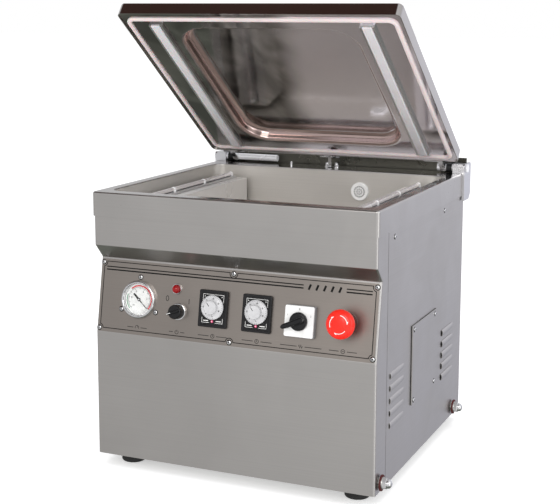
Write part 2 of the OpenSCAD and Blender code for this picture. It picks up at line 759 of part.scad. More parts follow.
// Rotor on its shaft, with the cooling fan at the free end
module motor_rotor() color([0.6, 0.6, 0.6]) machine()
  translate([pump_at[0], pump_at[1], motor_z]) {
    rod_x(rotor_r, -136, -38);
    rod_x(motor_shaft_r, -184, -24);
    rod_x(18, -176, -160);
    for (a = [0:60:300]) rotate([a, 0, 0]) block([-176, -2, 16], [-160, 2, 50]);
  }

module pump_mounts() color(black) machine() translate([pump_at[0], pump_at[1], 0])
  for (x = mount_x, y = mount_y) translate([x, y, 0]) {
    disc(12, base_top, base_top + mount_h);
    disc(mount_stud_r, foot_h - 3, base_top);
  }

// Vacuum hose: out of the port, round one bend and down to the pump's inlet
module hose_run(r) {
  translate([port_at[0], chamber_back + tub_t, port_at[1]]) rotate([-90, 0, 0])
    cylinder(r = r, h = hose_start - tub_t);
  translate([port_at[0], chamber_back + hose_start, port_at[1] - hose_bend])
    rotate([0, -90, 0]) rotate_extrude(angle = 90) translate([hose_bend, 0]) circle(r);
  translate([port_at[0], hose_y, inlet_z])
    cylinder(r = r, h = port_at[1] - hose_bend - inlet_z);
}

module vacuum_hose() color([0.75, 0.72, 0.62]) machine() difference() {
  hose_run(hose_r);
  translate([port_at[0], chamber_back, port_at[1]]) rotate([-90, 0, 0])
    cylinder(r = port_r + 0.1, h = 12);
}

module transformer() color([0.45, 0.30, 0.18]) machine() translate([-160, 120, base_top]) {
  difference() {
    block([-50, -40, 0], [50, 40, 90]);
    block([-32, -41, 18], [-16, 41, 72]);
    block([16, -41, 18], [32, 41, 72]);
  }
  for (y = [-62, 40]) block([-32, y, 18], [32, y + 22, 72]);
}

module valve_block() color([0.70, 0.60, 0.35]) machine() translate([-30, 250, 300]) {
  block([-60, -20, 0], [60, 20, 30]);
  for (x = [-40, 0, 40]) translate([x, 0, -36]) {
    disc(14, 0, 36);
    disc(5, -8, 0);
  }
  for (x = [-40, 40]) translate([x, 0, 30]) disc(8, 0, chamber_floor_z - tub_t - 330);
}

// ---------- lid ----------
module lid_outline(inset, r) {
  round_rect([-lid_w/2 + inset, lid_front + inset], [lid_w/2 - inset, lid_back - inset], r);
}

module recess_outline(grow) {
  round_rect([-recess_x - grow, recess_y[0] - grow], [recess_x + grow, recess_y[1] + grow],
    recess_r + grow);
}

module lid_shell() color(mirror_steel) lid_place() {
  difference() {
    union() {
      translate([0, 0, lid_low]) linear_extrude(skirt_h) lid_outline(0, 9);
      translate([0, 0, lid_low + skirt_h]) linear_extrude(dome_up) recess_outline(12);
    }
    translate([0, 0, lid_low - over]) linear_extrude(skirt_h + over - sheet)
      lid_outline(sheet, 7.5);
    translate([0, 0, lid_low]) linear_extrude(skirt_h + dome_up - sheet) recess_outline(10);
  }
}

module lid_liner() color(mirror_steel) lid_place() {
  difference() {
    union() {
      translate([0, 0, liner_z]) linear_extrude(liner_t) lid_outline(sheet, 7.5);
      translate([0, 0, liner_z + liner_t]) linear_extrude(recess_d) recess_outline(liner_t);
    }
    translate([0, 0, liner_z - over]) linear_extrude(recess_d + over) recess_outline(0);
  }
}

module lid_gasket() color(silicone) lid_place()
  translate([0, 0, deck_z + gasket_gap]) linear_extrude(liner_z - deck_z - gasket_gap)
    difference() {
      round_rect([-gasket_x - gasket_w/2, gasket_y[0] - gasket_w/2],
        [gasket_x + gasket_w/2, gasket_y[1] + gasket_w/2], gasket_r);
      round_rect([-gasket_x + gasket_w/2, gasket_y[0] + gasket_w/2],
        [gasket_x - gasket_w/2, gasket_y[1] - gasket_w/2], gasket_r - gasket_w);
    }

module strip_holders() color([0.78, 0.78, 0.79]) lid_place() both_sides() difference() {
  block([bar_x - holder_w/2, strip_y[0], strip_low + 1.5],
    [bar_x + holder_w/2, strip_y[1], liner_z]);
  block([bar_x - strip_w/2, strip_y[0] - over, strip_low - over],
    [bar_x + strip_w/2, strip_y[1] + over, liner_z - 2]);
}

module silicone_strips() color([0.82, 0.80, 0.80]) lid_place() both_sides()
  block([bar_x - strip_w/2, strip_y[0], strip_low], [bar_x + strip_w/2, strip_y[1], liner_z - 2]);

module hinge_shafts() color(chrome) lid_place() translate([0, hinge_y, hinge_z]) {
  rod_x(shaft_r, -shaft_out, -119);
  rod_x(shaft_r, 192, shaft_out);
  both_sides() translate([shaft_out + 0.4, 0, 0]) rotate([0, 90, 0])
    cylinder(r = 8, h = 3, $fn = 6);
  both_sides() rod_x(shaft_r - 1, shaft_out - over, shaft_out + 1);
}

module shaft_collars() color(black) lid_place() translate([0, hinge_y, hinge_z])
  both_sides() difference() {
    rod_x(8, 209, 219);
    rod_x(shaft_r, 208, 220);
  }

module lid_arms() color(chrome) lid_place() both_sides() difference() {
  union() {
    block([arm_x[0], lid_back, hinge_z - 5], [arm_x[1], hinge_y, hinge_z + 5]);
    translate([0, hinge_y, hinge_z]) rod_x(arm_r, arm_x[0], arm_x[1]);
    block([arm_x[0] - 24, lid_back, hinge_z - 7], [arm_x[1], lid_back + 3, hinge_z + 7]);
  }
  translate([0, hinge_y, hinge_z]) rod_x(shaft_r, arm_x[0] - over, arm_x[1] + over);
}

// T-shaped lever on the lid's rear skirt: its stem passes down through the deck's slot
module spring_lever() color(chrome) lid_place() {
  block([lever_x - 10, lid_back, lid_low + 2], [lever_x + 10, lid_back + 6, lid_low + 6]);
  block([lever_x - 19, lid_back + 5, lid_low + 1], [lever_x + 19, lid_back + 9, lid_low + 8]);
  translate([lever_x - 3, lid_back + 7, lid_low + 4]) rotate([lid_open - 180, 0, 0])
    translate([0, -1.5, 0]) cube([6, 3, 26]);
}

front_casing();
deck_frame();
chamber_tub();
rear_panel();
left_panel();
right_panel();
access_cover();
cover_seal();
base_plate();
feet();
control_plate();
casing_screws();
gauge_case();
gauge_dial();
gauge_glass();
gauge_needle();
pilot_bezel();
pilot_lens();
power_switch();
power_knob();
vacuum_timer();
vacuum_timer_dial();
sealing_timer();
sealing_timer_dial();
selector_switch();
selector_handle();
estop_collar();
estop_plunger();
estop_cap();
left_bar_housing();
right_bar_housing();
bar_cylinders();
left_seal_bar();
left_heater();
right_seal_bar();
right_heater();
vacuum_strainer();
lid_switch();
switch_plunger();
hinge_brackets();
rear_guard();
dome_nut_bolts();
side_washers();
cable_gland();
vacuum_pump();
pump_motor();
motor_rotor();
pump_mounts();
vacuum_hose();
transformer();
valve_block();
lid_shell();
lid_liner();
lid_gasket();
strip_holders();
silicone_strips();
hinge_shafts();
shaft_collars();
lid_arms();
spring_lever();
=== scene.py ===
"""Looks of a table-top chamber vacuum packing machine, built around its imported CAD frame."""

import json
from math import acos, asin, atan2, cos, degrees, pi, radians, sin, sqrt, tan

import bmesh
import bpy
from mathutils import Matrix, Vector, noise


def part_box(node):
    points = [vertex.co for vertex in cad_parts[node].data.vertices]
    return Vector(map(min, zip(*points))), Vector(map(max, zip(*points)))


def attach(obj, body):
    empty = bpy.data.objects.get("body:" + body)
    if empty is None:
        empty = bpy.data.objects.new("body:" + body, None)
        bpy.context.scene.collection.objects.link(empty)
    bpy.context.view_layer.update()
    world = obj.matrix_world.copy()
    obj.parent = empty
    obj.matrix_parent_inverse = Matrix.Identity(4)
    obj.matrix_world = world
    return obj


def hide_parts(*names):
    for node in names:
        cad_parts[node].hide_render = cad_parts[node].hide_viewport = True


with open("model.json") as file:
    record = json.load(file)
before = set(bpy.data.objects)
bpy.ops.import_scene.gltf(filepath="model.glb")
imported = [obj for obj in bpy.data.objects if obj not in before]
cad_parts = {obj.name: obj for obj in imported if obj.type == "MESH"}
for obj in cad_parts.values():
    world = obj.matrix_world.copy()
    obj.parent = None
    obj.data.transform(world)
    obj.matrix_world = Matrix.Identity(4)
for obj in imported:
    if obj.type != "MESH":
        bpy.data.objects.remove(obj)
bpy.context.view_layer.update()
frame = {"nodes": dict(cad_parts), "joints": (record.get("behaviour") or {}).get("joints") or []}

MM = 0.001
joints = {j["name"]: j for j in frame["joints"]}

# Places that the rest is worked out from, in metres, read from the frame
casing_low, casing_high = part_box("front_casing")
deck_low, deck_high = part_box("deck_frame")
tub_low, tub_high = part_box("chamber_tub")
FRONT = casing_low.y
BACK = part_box("rear_panel")[1].y
HALF = casing_high.x
DECK = deck_high.z
BOTTOM = casing_low.z
SHEET = 1.5 * MM
HINGE = Vector(joints["lid_hinge"]["pos_m"])
LID_OPEN = radians(joints["lid_hinge"]["range_deg"][1])
LID_PLACE = Matrix.Translation(HINGE) @ Matrix.Rotation(-LID_OPEN, 4, "X") @ Matrix.Translation(-HINGE)
PANEL_NORMAL = Vector(joints["power_turn"]["axis"]).normalized()
PANEL_UP = Vector((0, PANEL_NORMAL.z, -PANEL_NORMAL.y))
TUB_WALL = 2 * MM
TUB_CORNER = 20 * MM
PLATE_T = 1.2  # in mm, like the devices on the panel


# ---------- nodes of the materials ----------
class Nodes:
    """A node tree, with short calls for the nodes in it."""

    def __init__(self, tree):
        self.tree = tree

    def node(self, kind, **settings):
        made = self.tree.nodes.new("ShaderNode" + kind)
        for key, value in settings.items():
            setattr(made, key, value)
        return made

    def link(self, source, target):
        self.tree.links.new(source, target)

    def ramp(self, fac, *stops):
        """A colour ramp. Each stop is (position, colour)."""
        made = self.node("ValToRGB")
        elements = made.color_ramp.elements
        while len(elements) < len(stops):
            elements.new(0.5)
        for element, (position, colour) in zip(elements, stops):
            element.position = position
            element.color = (*colour, 1.0)
        self.link(fac, made.inputs["Fac"])
        return made.outputs["Color"]

    def spread(self, value, source, target=(0.0, 1.0), kind="LINEAR"):
        """value, from the span source, carried to the span target."""
        made = self.node("MapRange", interpolation_type=kind)
        for key, number in zip(("From Min", "From Max", "To Min", "To Max"), (*source, *target)):
            made.inputs[key].default_value = number
        self.link(value, made.inputs["Value"])
        return made.outputs["Result"]

    def mix(self, a, b, fac):
        made = self.node("Mix", data_type="RGBA")
        for value, socket in ((fac, made.inputs[0]), (a, made.inputs[6]), (b, made.inputs[7])):
            if isinstance(value, bpy.types.NodeSocket):
                self.link(value, socket)
            else:
                socket.default_value = (*value, 1.0)
        return made.outputs[2]


class Shader(Nodes):
    """A material with a Principled shader."""

    def __init__(self, name, **values):
        self.material = bpy.data.materials.new(name)
        self.material.use_nodes = True
        super().__init__(self.material.node_tree)
        self.bsdf = self.tree.nodes["Principled BSDF"]
        for key, value in values.items():
            self.bsdf.inputs[key.replace("_", " ")].default_value = value
        self.coords = self.tree.nodes.new("ShaderNodeTexCoord").outputs["Object"]

    def stretch(self, scale):
        """Object coordinates scaled by three numbers."""
        mapping = self.node("Mapping")
        mapping.inputs["Scale"].default_value = scale
        self.link(self.coords, mapping.inputs["Vector"])
        return mapping.outputs["Vector"]

    def noise(self, scale, detail=3.0, distortion=0.0, vector=None):
        made = self.node("TexNoise")
        for key, value in (("Scale", scale), ("Detail", detail), ("Distortion", distortion)):
            made.inputs[key].default_value = value
        self.link(vector or self.coords, made.inputs["Vector"])
        return made.outputs["Fac"]

    def span(self, fac, low, high):
        """Noise, which is mostly from 0.3 to 0.7, carried to low..high."""
        return self.spread(fac, (0.3, 0.7), (low, high))

    def add(self, a, b, weight):
        """a + b * weight."""
        made = self.node("Math", operation="MULTIPLY_ADD")
        self.link(b, made.inputs[0])
        made.inputs[1].default_value = weight
        self.link(a, made.inputs[2])
        return made.outputs[0]

    def colour(self, socket):
        self.link(socket, self.bsdf.inputs["Base Color"])

    def rough(self, socket):
        self.link(socket, self.bsdf.inputs["Roughness"])

    def bump(self, height, distance, strength=1.0):
        made = self.node("Bump")
        made.inputs["Strength"].default_value = strength
        made.inputs["Distance"].default_value = distance
        self.link(height, made.inputs["Height"])
        self.link(made.outputs["Normal"], self.bsdf.inputs["Normal"])


def shade(colour, factor):
    return tuple(min(1.0, c * factor) for c in colour)


def satin_steel(name, colour, roughness, grain, streak=0.05, metallic=1.0):
    """Ground stainless sheet. grain is the scale of the grinding lines along X, Y and Z."""
    s = Shader(name, Metallic=metallic)
    lines = s.noise(1.0, 4.0, vector=s.stretch(grain))
    broad = s.noise(1.0, 3.0, vector=s.stretch([max(2.0, g * 0.03) for g in grain]))
    cloud = s.noise(4.5, 4.0, 0.6)
    tone = s.ramp(s.add(cloud, broad, streak * 4),
                  (0.25, shade(colour, 0.93)), (0.6, colour), (0.95, shade(colour, 1.06)))
    s.colour(s.mix(tone, shade(colour, 0.80), s.span(lines, 0.0, 0.22)))
    smudge = s.span(s.noise(9.0, 5.0, 1.2), roughness - 0.05, roughness + 0.07)
    s.rough(s.add(smudge, lines, 0.05))
    s.bump(lines, 0.00006, 0.35)
    return s.material


def mirror_steel(name, colour, roughness, wave):
    """Polished stainless with wiping marks and, where the sheet is thin, a slow wave."""
    s = Shader(name, Metallic=1.0)
    s.colour(s.ramp(s.noise(6.0, 4.0, 0.8), (0.3, shade(colour, 0.93)), (0.7, colour)))
    wipes = s.noise(1.0, 5.0, 1.5, s.stretch((30.0, 30.0, 30.0)))
    s.rough(s.span(wipes, roughness * 0.6, roughness * 1.7))
    s.bump(s.noise(16.0, 2.0), 0.002, wave)
    return s.material


def liner_steel(name, clear, painted_dark_reflection, roughness, wave):
    """Polished stainless, with a painted dark reflection on its left side along a slanting, wavy edge."""
    slant, waviness, edge = -0.435, 0.16, (-0.225, -0.165)
    s = Shader(name, Metallic=1.0)
    split = s.node("SeparateXYZ")
    s.link(s.coords, split.inputs[0])
    across = s.add(split.outputs["X"], split.outputs["Z"], slant)
    # Painted reflection: left of this slanting, wavy edge the colour is dark, standing in for dark things
    # mirrored there.
    painted_reflection_mask = s.add(across, s.noise(4.6, 1.0, 1.0), waviness)
    painted_reflection_tone = s.ramp(s.noise(7.0, 2.0, 2.2), (0.35, painted_dark_reflection), (0.75, shade(painted_dark_reflection, 2.2)))
    s.colour(s.mix(painted_reflection_tone, clear, s.spread(painted_reflection_mask, edge, kind="SMOOTHSTEP")))
    s.rough(s.span(s.noise(30.0, 5.0, 1.5), roughness * 0.6, roughness * 1.7))
    s.bump(s.noise(16.0, 2.0), 0.002, wave)
    return s.material


def mottled(name, colour, tone, stops, rough, bump=None, **values):
    """A material whose colour and roughness follow one noise.

    tone is the noise's scale, detail and distortion, stops are the ramp's positions with a factor on
    the colour, rough is the span of the roughness, and bump is its scale, detail, distance, strength.
    """
    s = Shader(name, **values)
    patch = s.noise(*tone)
    s.colour(s.ramp(patch, *[(position, shade(colour, factor)) for position, factor in stops]))
    s.rough(s.span(patch, *rough))
    if bump:
        s.bump(s.noise(*bump[:2]), *bump[2:])
    return s.material


def plated(name, colour, roughness):
    """Chromed or zinc-plated small metal with handling marks."""
    return mottled(name, colour, (240.0, 5.0, 0.4), ((0.25, 0.82), (0.6, 1.0)),
                   (roughness * 0.7, roughness * 1.8), (700.0, 2.0, 0.00002, 0.4), Metallic=1.0)


def moulded(name, colour, roughness, grain=0.25, coat=0.0, specular=0.5):
    """Moulded plastic: fine spark-eroded grain, slight tone change and rubbed patches."""
    return mottled(name, colour, (55.0, 4.0, 0.5), ((0.25, 0.86), (0.75, 1.10)),
                   (roughness - 0.06, roughness + 0.08), (2600.0, 2.0, 0.00004, grain),
                   Specular_IOR_Level=specular, Coat_Weight=coat, Coat_Roughness=0.12)


def rubber(name, colour, roughness=0.6, dust=0.25):
    """Moulded rubber with a dusty bloom."""
    return mottled(name, colour, (38.0, 6.0, 0.4), ((0.35, 1.0), (0.8, 1.0 + dust)),
                   (roughness - 0.08, roughness + 0.1), (1500.0, 3.0, 0.00008, 0.5), Specular_IOR_Level=0.35)


def soft_silicone(name, colour):
    """Silicone: milky, slightly see-through, with fine extrusion lines."""
    s = Shader(name, Subsurface_Weight=0.25, Subsurface_Scale=0.004, Specular_IOR_Level=0.45)
    tone = s.noise(14.0, 4.0, 0.6)
    s.colour(s.ramp(tone, (0.3, shade(colour, 0.93)), (0.7, shade(colour, 1.03))))
    s.rough(s.span(s.noise(60.0, 4.0), 0.34, 0.5))
    s.bump(s.noise(420.0, 3.0), 0.00012, 0.35)
    return s.material


def cast_paint(name, colour, roughness=0.45):
    """Paint over a casting: orange peel and tone that changes in random patches."""
    return mottled(name, colour, (22.0, 6.0, 0.7), ((0.3, 0.8), (0.7, 1.15)),
                   (roughness - 0.1, roughness + 0.15), (520.0, 3.0, 0.0004, 0.45), Specular_IOR_Level=0.5)


def ink(name, colour):
    """Screen-printed ink, slightly uneven."""
    return mottled(name, colour, (160.0, 4.0), ((0.3, 0.85), (0.75, 1.12)), (0.39, 0.53),
                   Specular_IOR_Level=0.15)


def lens(name, colour, transmission, roughness):
    """Clear or tinted plastic or glass."""
    return mottled(name, colour, (120.0, 3.0), ((0.3, 0.92), (0.7, 1.0)),
                   (roughness * 0.6, roughness * 1.6), Transmission_Weight=transmission, IOR=1.45)


STEEL = (0.575, 0.558, 0.545)
M = {
    "casing": satin_steel("casing_satin", STEEL, 0.32, (3.0, 3.0, 900.0)),
    "deck": satin_steel("deck_satin", STEEL, 0.30, (3.0, 700.0, 700.0)),
    "deck_top": satin_steel("deck_polished", shade(STEEL, 0.95), 0.12, (3.0, 700.0, 3.0)),
    "side": satin_steel("side_satin", STEEL, 0.34, (3.0, 3.0, 900.0)),
    "tub": satin_steel("tub_satin", (0.62, 0.595, 0.56), 0.34, (4.0, 4.0, 500.0), 0.08, 0.45),
    "housing": satin_steel("housing_satin", (0.80, 0.78, 0.76), 0.30, (900.0, 3.0, 3.0), 0.05, 0.45),
    "plate": satin_steel("plate_satin", (0.365, 0.328, 0.300), 0.33, (3.0, 900.0, 900.0)),
    "bracket": satin_steel("bracket_satin", (0.78, 0.78, 0.81), 0.26, (500.0, 3.0, 500.0)),
    "lid": mirror_steel("lid_mirror", (0.60, 0.575, 0.56), 0.05, 0.05),
    # The liner's dark left side is a painted reflection.
    "liner": liner_steel("liner_mirror", (0.90, 0.86, 0.90), (0.20, 0.19, 0.18), 0.09, 0.08),
    # The recess walls' brown is a painted reflection of warm surroundings, not the steel's own colour.
    "liner_wall": mirror_steel("liner_wall_brown_painted_reflection", (0.60, 0.46, 0.43), 0.14, 0.05),
    # The guard's near-black colour is a painted dark reflection, not the steel's own tone.
    "guard": mirror_steel("guard_painted_dark_mirror", (0.115, 0.112, 0.096), 0.30, 0.05),
    "chrome": plated("bright_chrome", (0.80, 0.80, 0.81), 0.11),
    "zinc": plated("zinc_plate", (0.68, 0.68, 0.66), 0.26),
    "aluminium": satin_steel("extruded_aluminium", (0.72, 0.72, 0.725), 0.32, (900.0, 3.0, 900.0)),
    "heater": satin_steel("heater_rod", (0.93, 0.89, 0.88), 0.24, (3.0, 60.0, 3.0), 0.03, 0.55),
    "shaft": satin_steel("shaft_ground", (0.95, 0.95, 0.98), 0.26, (60.0, 3.0, 3.0), 0.03, 0.35),
    "black": moulded("black_moulding", (0.011, 0.011, 0.012), 0.36, 0.22, 0.0, 0.3),
    "knob": moulded("black_knob", (0.008, 0.008, 0.009), 0.30, 0.18, 0.1, 0.3),
    "white": moulded("white_moulding", (0.82, 0.82, 0.81), 0.36, 0.15, 0.2),
    "grey": moulded("grey_moulding", (0.20, 0.20, 0.205), 0.42, 0.2),
    "silver": moulded("silver_dial", (0.52, 0.52, 0.53), 0.34, 0.12, 0.2),
    "red": moulded("red_mushroom", (0.80, 0.018, 0.008), 0.26, 0.1, 0.1, 0.35),
    # The collar's dark red is red plastic darkened with painted shade.
    "collar": moulded("estop_collar", (0.075, 0.014, 0.012), 0.34, 0.15, 0.0, 0.35),
    "dial": moulded("dial_card", (0.86, 0.86, 0.85), 0.5, 0.05),
    "rubber": rubber("black_rubber", (0.018, 0.018, 0.018)),
    "hose": rubber("hose_rubber", (0.48, 0.44, 0.34), 0.45, 0.1),
    "gasket": soft_silicone("pink_silicone", (0.70, 0.61, 0.605)),
    "strip": soft_silicone("grey_silicone", (0.62, 0.60, 0.61)),
    "fibre": moulded("red_fibre", (0.075, 0.010, 0.009), 0.6, 0.5, 0.0, 0.3),
    "ptfe": moulded("white_ptfe", (0.92, 0.92, 0.91), 0.42, 0.1),
    "pump": cast_paint("pump_paint", (0.045, 0.085, 0.15)),
    "motor": cast_paint("motor_paint", (0.06, 0.09, 0.14)),
    "rotor": plated("machined_rotor", (0.45, 0.45, 0.45), 0.3),
    "coil": cast_paint("coil_varnish", (0.22, 0.10, 0.04), 0.35),
    "brass": plated("valve_brass", (0.62, 0.46, 0.20), 0.24),
    "ink_black": ink("ink_black", (0.006, 0.006, 0.006)),
    "ink_grey": ink("ink_grey", (0.045, 0.043, 0.040)),
    "ink_white": ink("ink_white", (0.82, 0.82, 0.80)),
    "ink_red": ink("ink_red", (0.62, 0.02, 0.03)),
    "ink_green": ink("ink_green", (0.03, 0.26, 0.12)),
    "lamp": lens("red_lens", (0.30, 0.006, 0.008), 0.15, 0.12),
    "led": lens("pink_led", (0.90, 0.10, 0.25), 0.0, 0.25),
    "glass": lens("gauge_glass", (0.97, 0.98, 0.98), 1.0, 0.01),
}


# ---------- making meshes ----------
def make_object(name, verts, faces, material, smooth=38.0):
    mesh = bpy.data.meshes.new(name)
    mesh.from_pydata([tuple(v) for v in verts], [], faces)
    mesh.materials.append(M[material])
    made = bpy.data.objects.new(name, mesh)
    bpy.context.scene.collection.objects.link(made)
    tidy_mesh(mesh, smooth)
    return made


def tidy_mesh(mesh, smooth=38.0):
    """Merges doubled points, turns every face outwards and marks the sharp edges."""
    bm = bmesh.new()
    bm.from_mesh(mesh)
    bmesh.ops.remove_doubles(bm, verts=bm.verts, dist=1e-6)
    bmesh.ops.dissolve_degenerate(bm, edges=bm.edges, dist=1e-7)
    bmesh.ops.recalc_face_normals(bm, faces=bm.faces)
    bm.to_mesh(mesh)
    bm.free()
    mesh.shade_smooth()
    mesh.set_sharp_from_angle(angle=radians(smooth))


def apply_modifiers(obj, smooth=38.0):
    """Replaces the mesh with what its modifiers make of it."""
    graph = bpy.context.evaluated_depsgraph_get()
    graph.update()
    mesh = bpy.data.meshes.new_from_object(obj.evaluated_get(graph))
    obj.modifiers.clear()
    old = obj.data
    obj.data = mesh
    bpy.data.meshes.remove(old)
    tidy_mesh(mesh, smooth)


def place(obj, matrix):
    obj.data.transform(matrix)
    obj.data.update()
    return obj


def join(name, parts):
    """One object from several, each keeping its material."""
    with bpy.context.temp_override(active_object=parts[0], selected_editable_objects=parts):
        bpy.ops.object.join()
    parts[0].name = name
    parts[0].data.name = name
    return parts[0]


def piece(obj, body, stands_for=()):
    """Finishes a piece: rides on its body, with clean normals, and stands for its CAD nodes."""
    weigh_normals(obj)
    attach(obj, body)
    if stands_for:
        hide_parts(*stands_for)
    return obj


def weigh_normals(obj):
    modifier = obj.modifiers.new("normals", "WEIGHTED_NORMAL")
    modifier.keep_sharp = True
    modifier.weight = 80


def bevel(obj, width, segments=2, angle=35.0):
    modifier = obj.modifiers.new("bevel", "BEVEL")
    modifier.width = width
    modifier.segments = segments
    modifier.limit_method = "ANGLE"
    modifier.angle_limit = radians(angle)
    modifier.use_clamp_overlap = True


def thicken(obj, thickness, offset=-1.0):
    modifier = obj.modifiers.new("sheet", "SOLIDIFY")
    modifier.thickness = thickness
    modifier.offset = offset
    modifier.use_even_offset = True


def cut(obj, cutter):
    """Takes the cutter's volume out of obj and deletes the cutter."""
    modifier = obj.modifiers.new("cut", "BOOLEAN")
    modifier.operation = "DIFFERENCE"
    modifier.solver = "EXACT"
    modifier.use_self = True
    modifier.object = cutter
    apply_modifiers(obj)
    bpy.data.objects.remove(cutter)


def corner_arc(before, corner, after, radius, steps):
    """Points of the arc that rounds a corner of a flat outline."""
    u = (before - corner).normalized()
    v = (after - corner).normalized()
    half = u.angle(v) / 2
    centre = corner + (u + v).normalized() * (radius / sin(half))
    a = corner + u * (radius / tan(half)) - centre
    b = corner + v * (radius / tan(half)) - centre
    turn = a.angle(b)
    return [
        centre + (a * sin((1 - i / steps) * turn) + b * sin(i / steps * turn)) / sin(turn)
        for i in range(steps + 1)
    ]


def round_path(points, radii, steps=4):
    """An open flat outline with its inner corners rounded."""
    path = [points[0]]
    for before, corner, after, radius in zip(points, points[1:], points[2:], radii):
        path += corner_arc(before, corner, after, radius, steps)
    return path + [points[-1]]


def round_loop(low, high, radius, z, steps=6, along=1):
    """A level rectangle with round corners, as a closed loop of points."""
    loop = []
    centres = ((high[0] - radius, high[1] - radius, 0), (low[0] + radius, high[1] - radius, 90),
               (low[0] + radius, low[1] + radius, 180), (high[0] - radius, low[1] + radius, 270))
    for x, y, start in centres:
        for i in range(steps + 1):
            a = radians(start + 90 * i / steps)
            loop.append(Vector((x + radius * cos(a), y + radius * sin(a), z)))
    if along > 1:
        full = []
        for i, point in enumerate(loop):
            full.append(point)
            if i % (steps + 1) == steps:
                following = loop[(i + 1) % len(loop)]
                full += [point.lerp(following, k / along) for k in range(1, along)]
        loop = full
    return loop


def skin(name, rows, material, closed=True, caps=(False, False), smooth=38.0):
    """A surface through rows of points that all have the same number of points."""
    width = len(rows[0])
    verts = [p for row in rows for p in row]
    span = width if closed else width - 1
    faces = [
        (r * width + c, r * width + (c + 1) % width,
         (r + 1) * width + (c + 1) % width, (r + 1) * width + c)
        for r in range(len(rows) - 1) for c in range(span)
    ]
    if caps[0]:
        faces.append(tuple(reversed(range(width))))
    if caps[1]:
        faces.append(tuple(range((len(rows) - 1) * width, len(rows) * width)))
    return make_object(name, verts, faces, material, smooth)


def lathe(name, outline, material, steps=64, smooth=38.0, unit=MM):
    """A turned solid about Z from an outline of (radius, height), from axis to axis."""
    turns = [2 * pi * i / steps for i in range(steps)]
    rows = [[Vector((r * unit * cos(a), r * unit * sin(a), z * unit)) for a in turns] for r, z in outline]
    return skin(name, rows, material, smooth=smooth)


def box_mesh(name, low, high, material, unit=1.0):
    xs, ys, zs = ((a * unit, b * unit) for a, b in zip(low, high))
    verts = [(x, y, z) for x in xs for y in ys for z in zs]
    faces = [(0, 1, 3, 2), (4, 6, 7, 5), (0, 4, 5, 1), (2, 3, 7, 6), (0, 2, 6, 4), (1, 5, 7, 3)]
    return make_object(name, verts, faces, material)


def rod(name, radius, start, end, material, steps=32):
    """A round bar between two points, with chamfered ends."""
    start, end = Vector(start), Vector(end)
    length = (end - start).length
    c = min(radius * 0.15, length * 0.2)
    made = lathe(name, [(0, 0), (radius - c, 0), (radius, c), (radius, length - c),
                        (radius - c, length), (0, length)], material, steps, unit=1.0)
    turn = (end - start).to_track_quat("Z", "Y").to_matrix().to_4x4()
    return place(made, Matrix.Translation(start) @ turn)


def move(*to):
    return Matrix.Translation(to)


def spin(angle, axis="Z"):
    return Matrix.Rotation(radians(angle), 4, axis)


def middle(node):
    low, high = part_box(node)
    return (low + high) / 2


def on_panel(x, point):
    """Placing on the sloping panel: local +Z out of it, +Y up it. point is in its plane."""
    turn = Matrix((Vector((1, 0, 0)), PANEL_UP, PANEL_NORMAL)).transposed().to_4x4()
    return move(x, point[1], point[2]) @ turn


def panel_place(joint):
    position = joints[joint]["pos_m"]
    return on_panel(position[0], position)


def plate_frame():
    """Placing on the back of the control plate, in its middle, and half its width and height in mm."""
    low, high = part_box("control_plate")
    centre = on_panel(0, (low + high) / 2 - PANEL_NORMAL * (PLATE_T * MM / 2))
    half_y = (high.z - low.z - PLATE_T * MM * PANEL_NORMAL.z) / 2 / -PANEL_NORMAL.y
    return centre, high.x / MM, half_y / MM


# ---------- printed marks, all in millimetres ----------
def line(*points):
    return [Vector(p) for p in points]


def stroke(path, width, z, height, material="ink_black", closed=False):
    """A flat printed line along a path in the XY plane, as a thin closed solid."""
    rows = []
    count = len(path)
    for i, point in enumerate(path):
        before = path[(i - 1) % count] if closed or i else point
        after = path[(i + 1) % count] if closed or i < count - 1 else point
        a = (point - before).normalized() if (point - before).length > 0 else (after - point).normalized()
        b = (after - point).normalized() if (after - point).length > 0 else a
        side = Vector((-(a.y + b.y), a.x + b.x)).normalized()
        reach = side * (width / 2 / max(0.4, side.dot(Vector((-a.y, a.x)))))
        left, right = point + reach, point - reach
        rows.append([Vector((*p, h)) * MM for p, h in ((left, z), (left, z + height),
                                                       (right, z + height), (right, z))])
    if closed:
        rows.append([p.copy() for p in rows[0]])
        return skin("mark", rows, material)
    return skin("mark", rows, material, caps=(True, True))


def arc_path(radius, start, end, steps=24, centre=(0, 0)):
    """Points of an arc, angles in degrees."""
    turns = (radians(start + (end - start) * i / steps) for i in range(steps + 1))
    return [Vector((centre[0] + radius * cos(a), centre[1] + radius * sin(a))) for a in turns]


def ray(angle, reach=1.0):
    """The point that lies reach away from the origin, at an angle in degrees."""
    return Vector((reach * cos(radians(angle)), reach * sin(radians(angle))))


def spoke(angle, near, far, width, z, height, material="ink_black"):
    """A short printed line that points at the origin."""
    return stroke([ray(angle, near), ray(angle, far)], width, z, height, material)


def numeral(text, size, at, z, material="ink_black", height=0.05):
    """A printed number, centred on a point."""
    curve = bpy.data.curves.new("numeral", "FONT")
    curve.body = text
    curve.size = size * MM
    curve.align_x = "CENTER"
    curve.align_y = "CENTER"
    curve.extrude = height * MM / 2
    curve.resolution_u = 3
    holder = bpy.data.objects.new("numeral", curve)
    bpy.context.scene.collection.objects.link(holder)
    bpy.context.view_layer.update()
    mesh = bpy.data.meshes.new_from_object(holder)
    bpy.data.objects.remove(holder)
    bpy.data.curves.remove(curve)
    made = bpy.data.objects.new("numeral", mesh)
    mesh.materials.clear()
    mesh.materials.append(M[material])
    bpy.context.scene.collection.objects.link(made)
    tidy_mesh(mesh)
    return place(made, move(at[0] * MM, at[1] * MM, (z + height / 2) * MM))


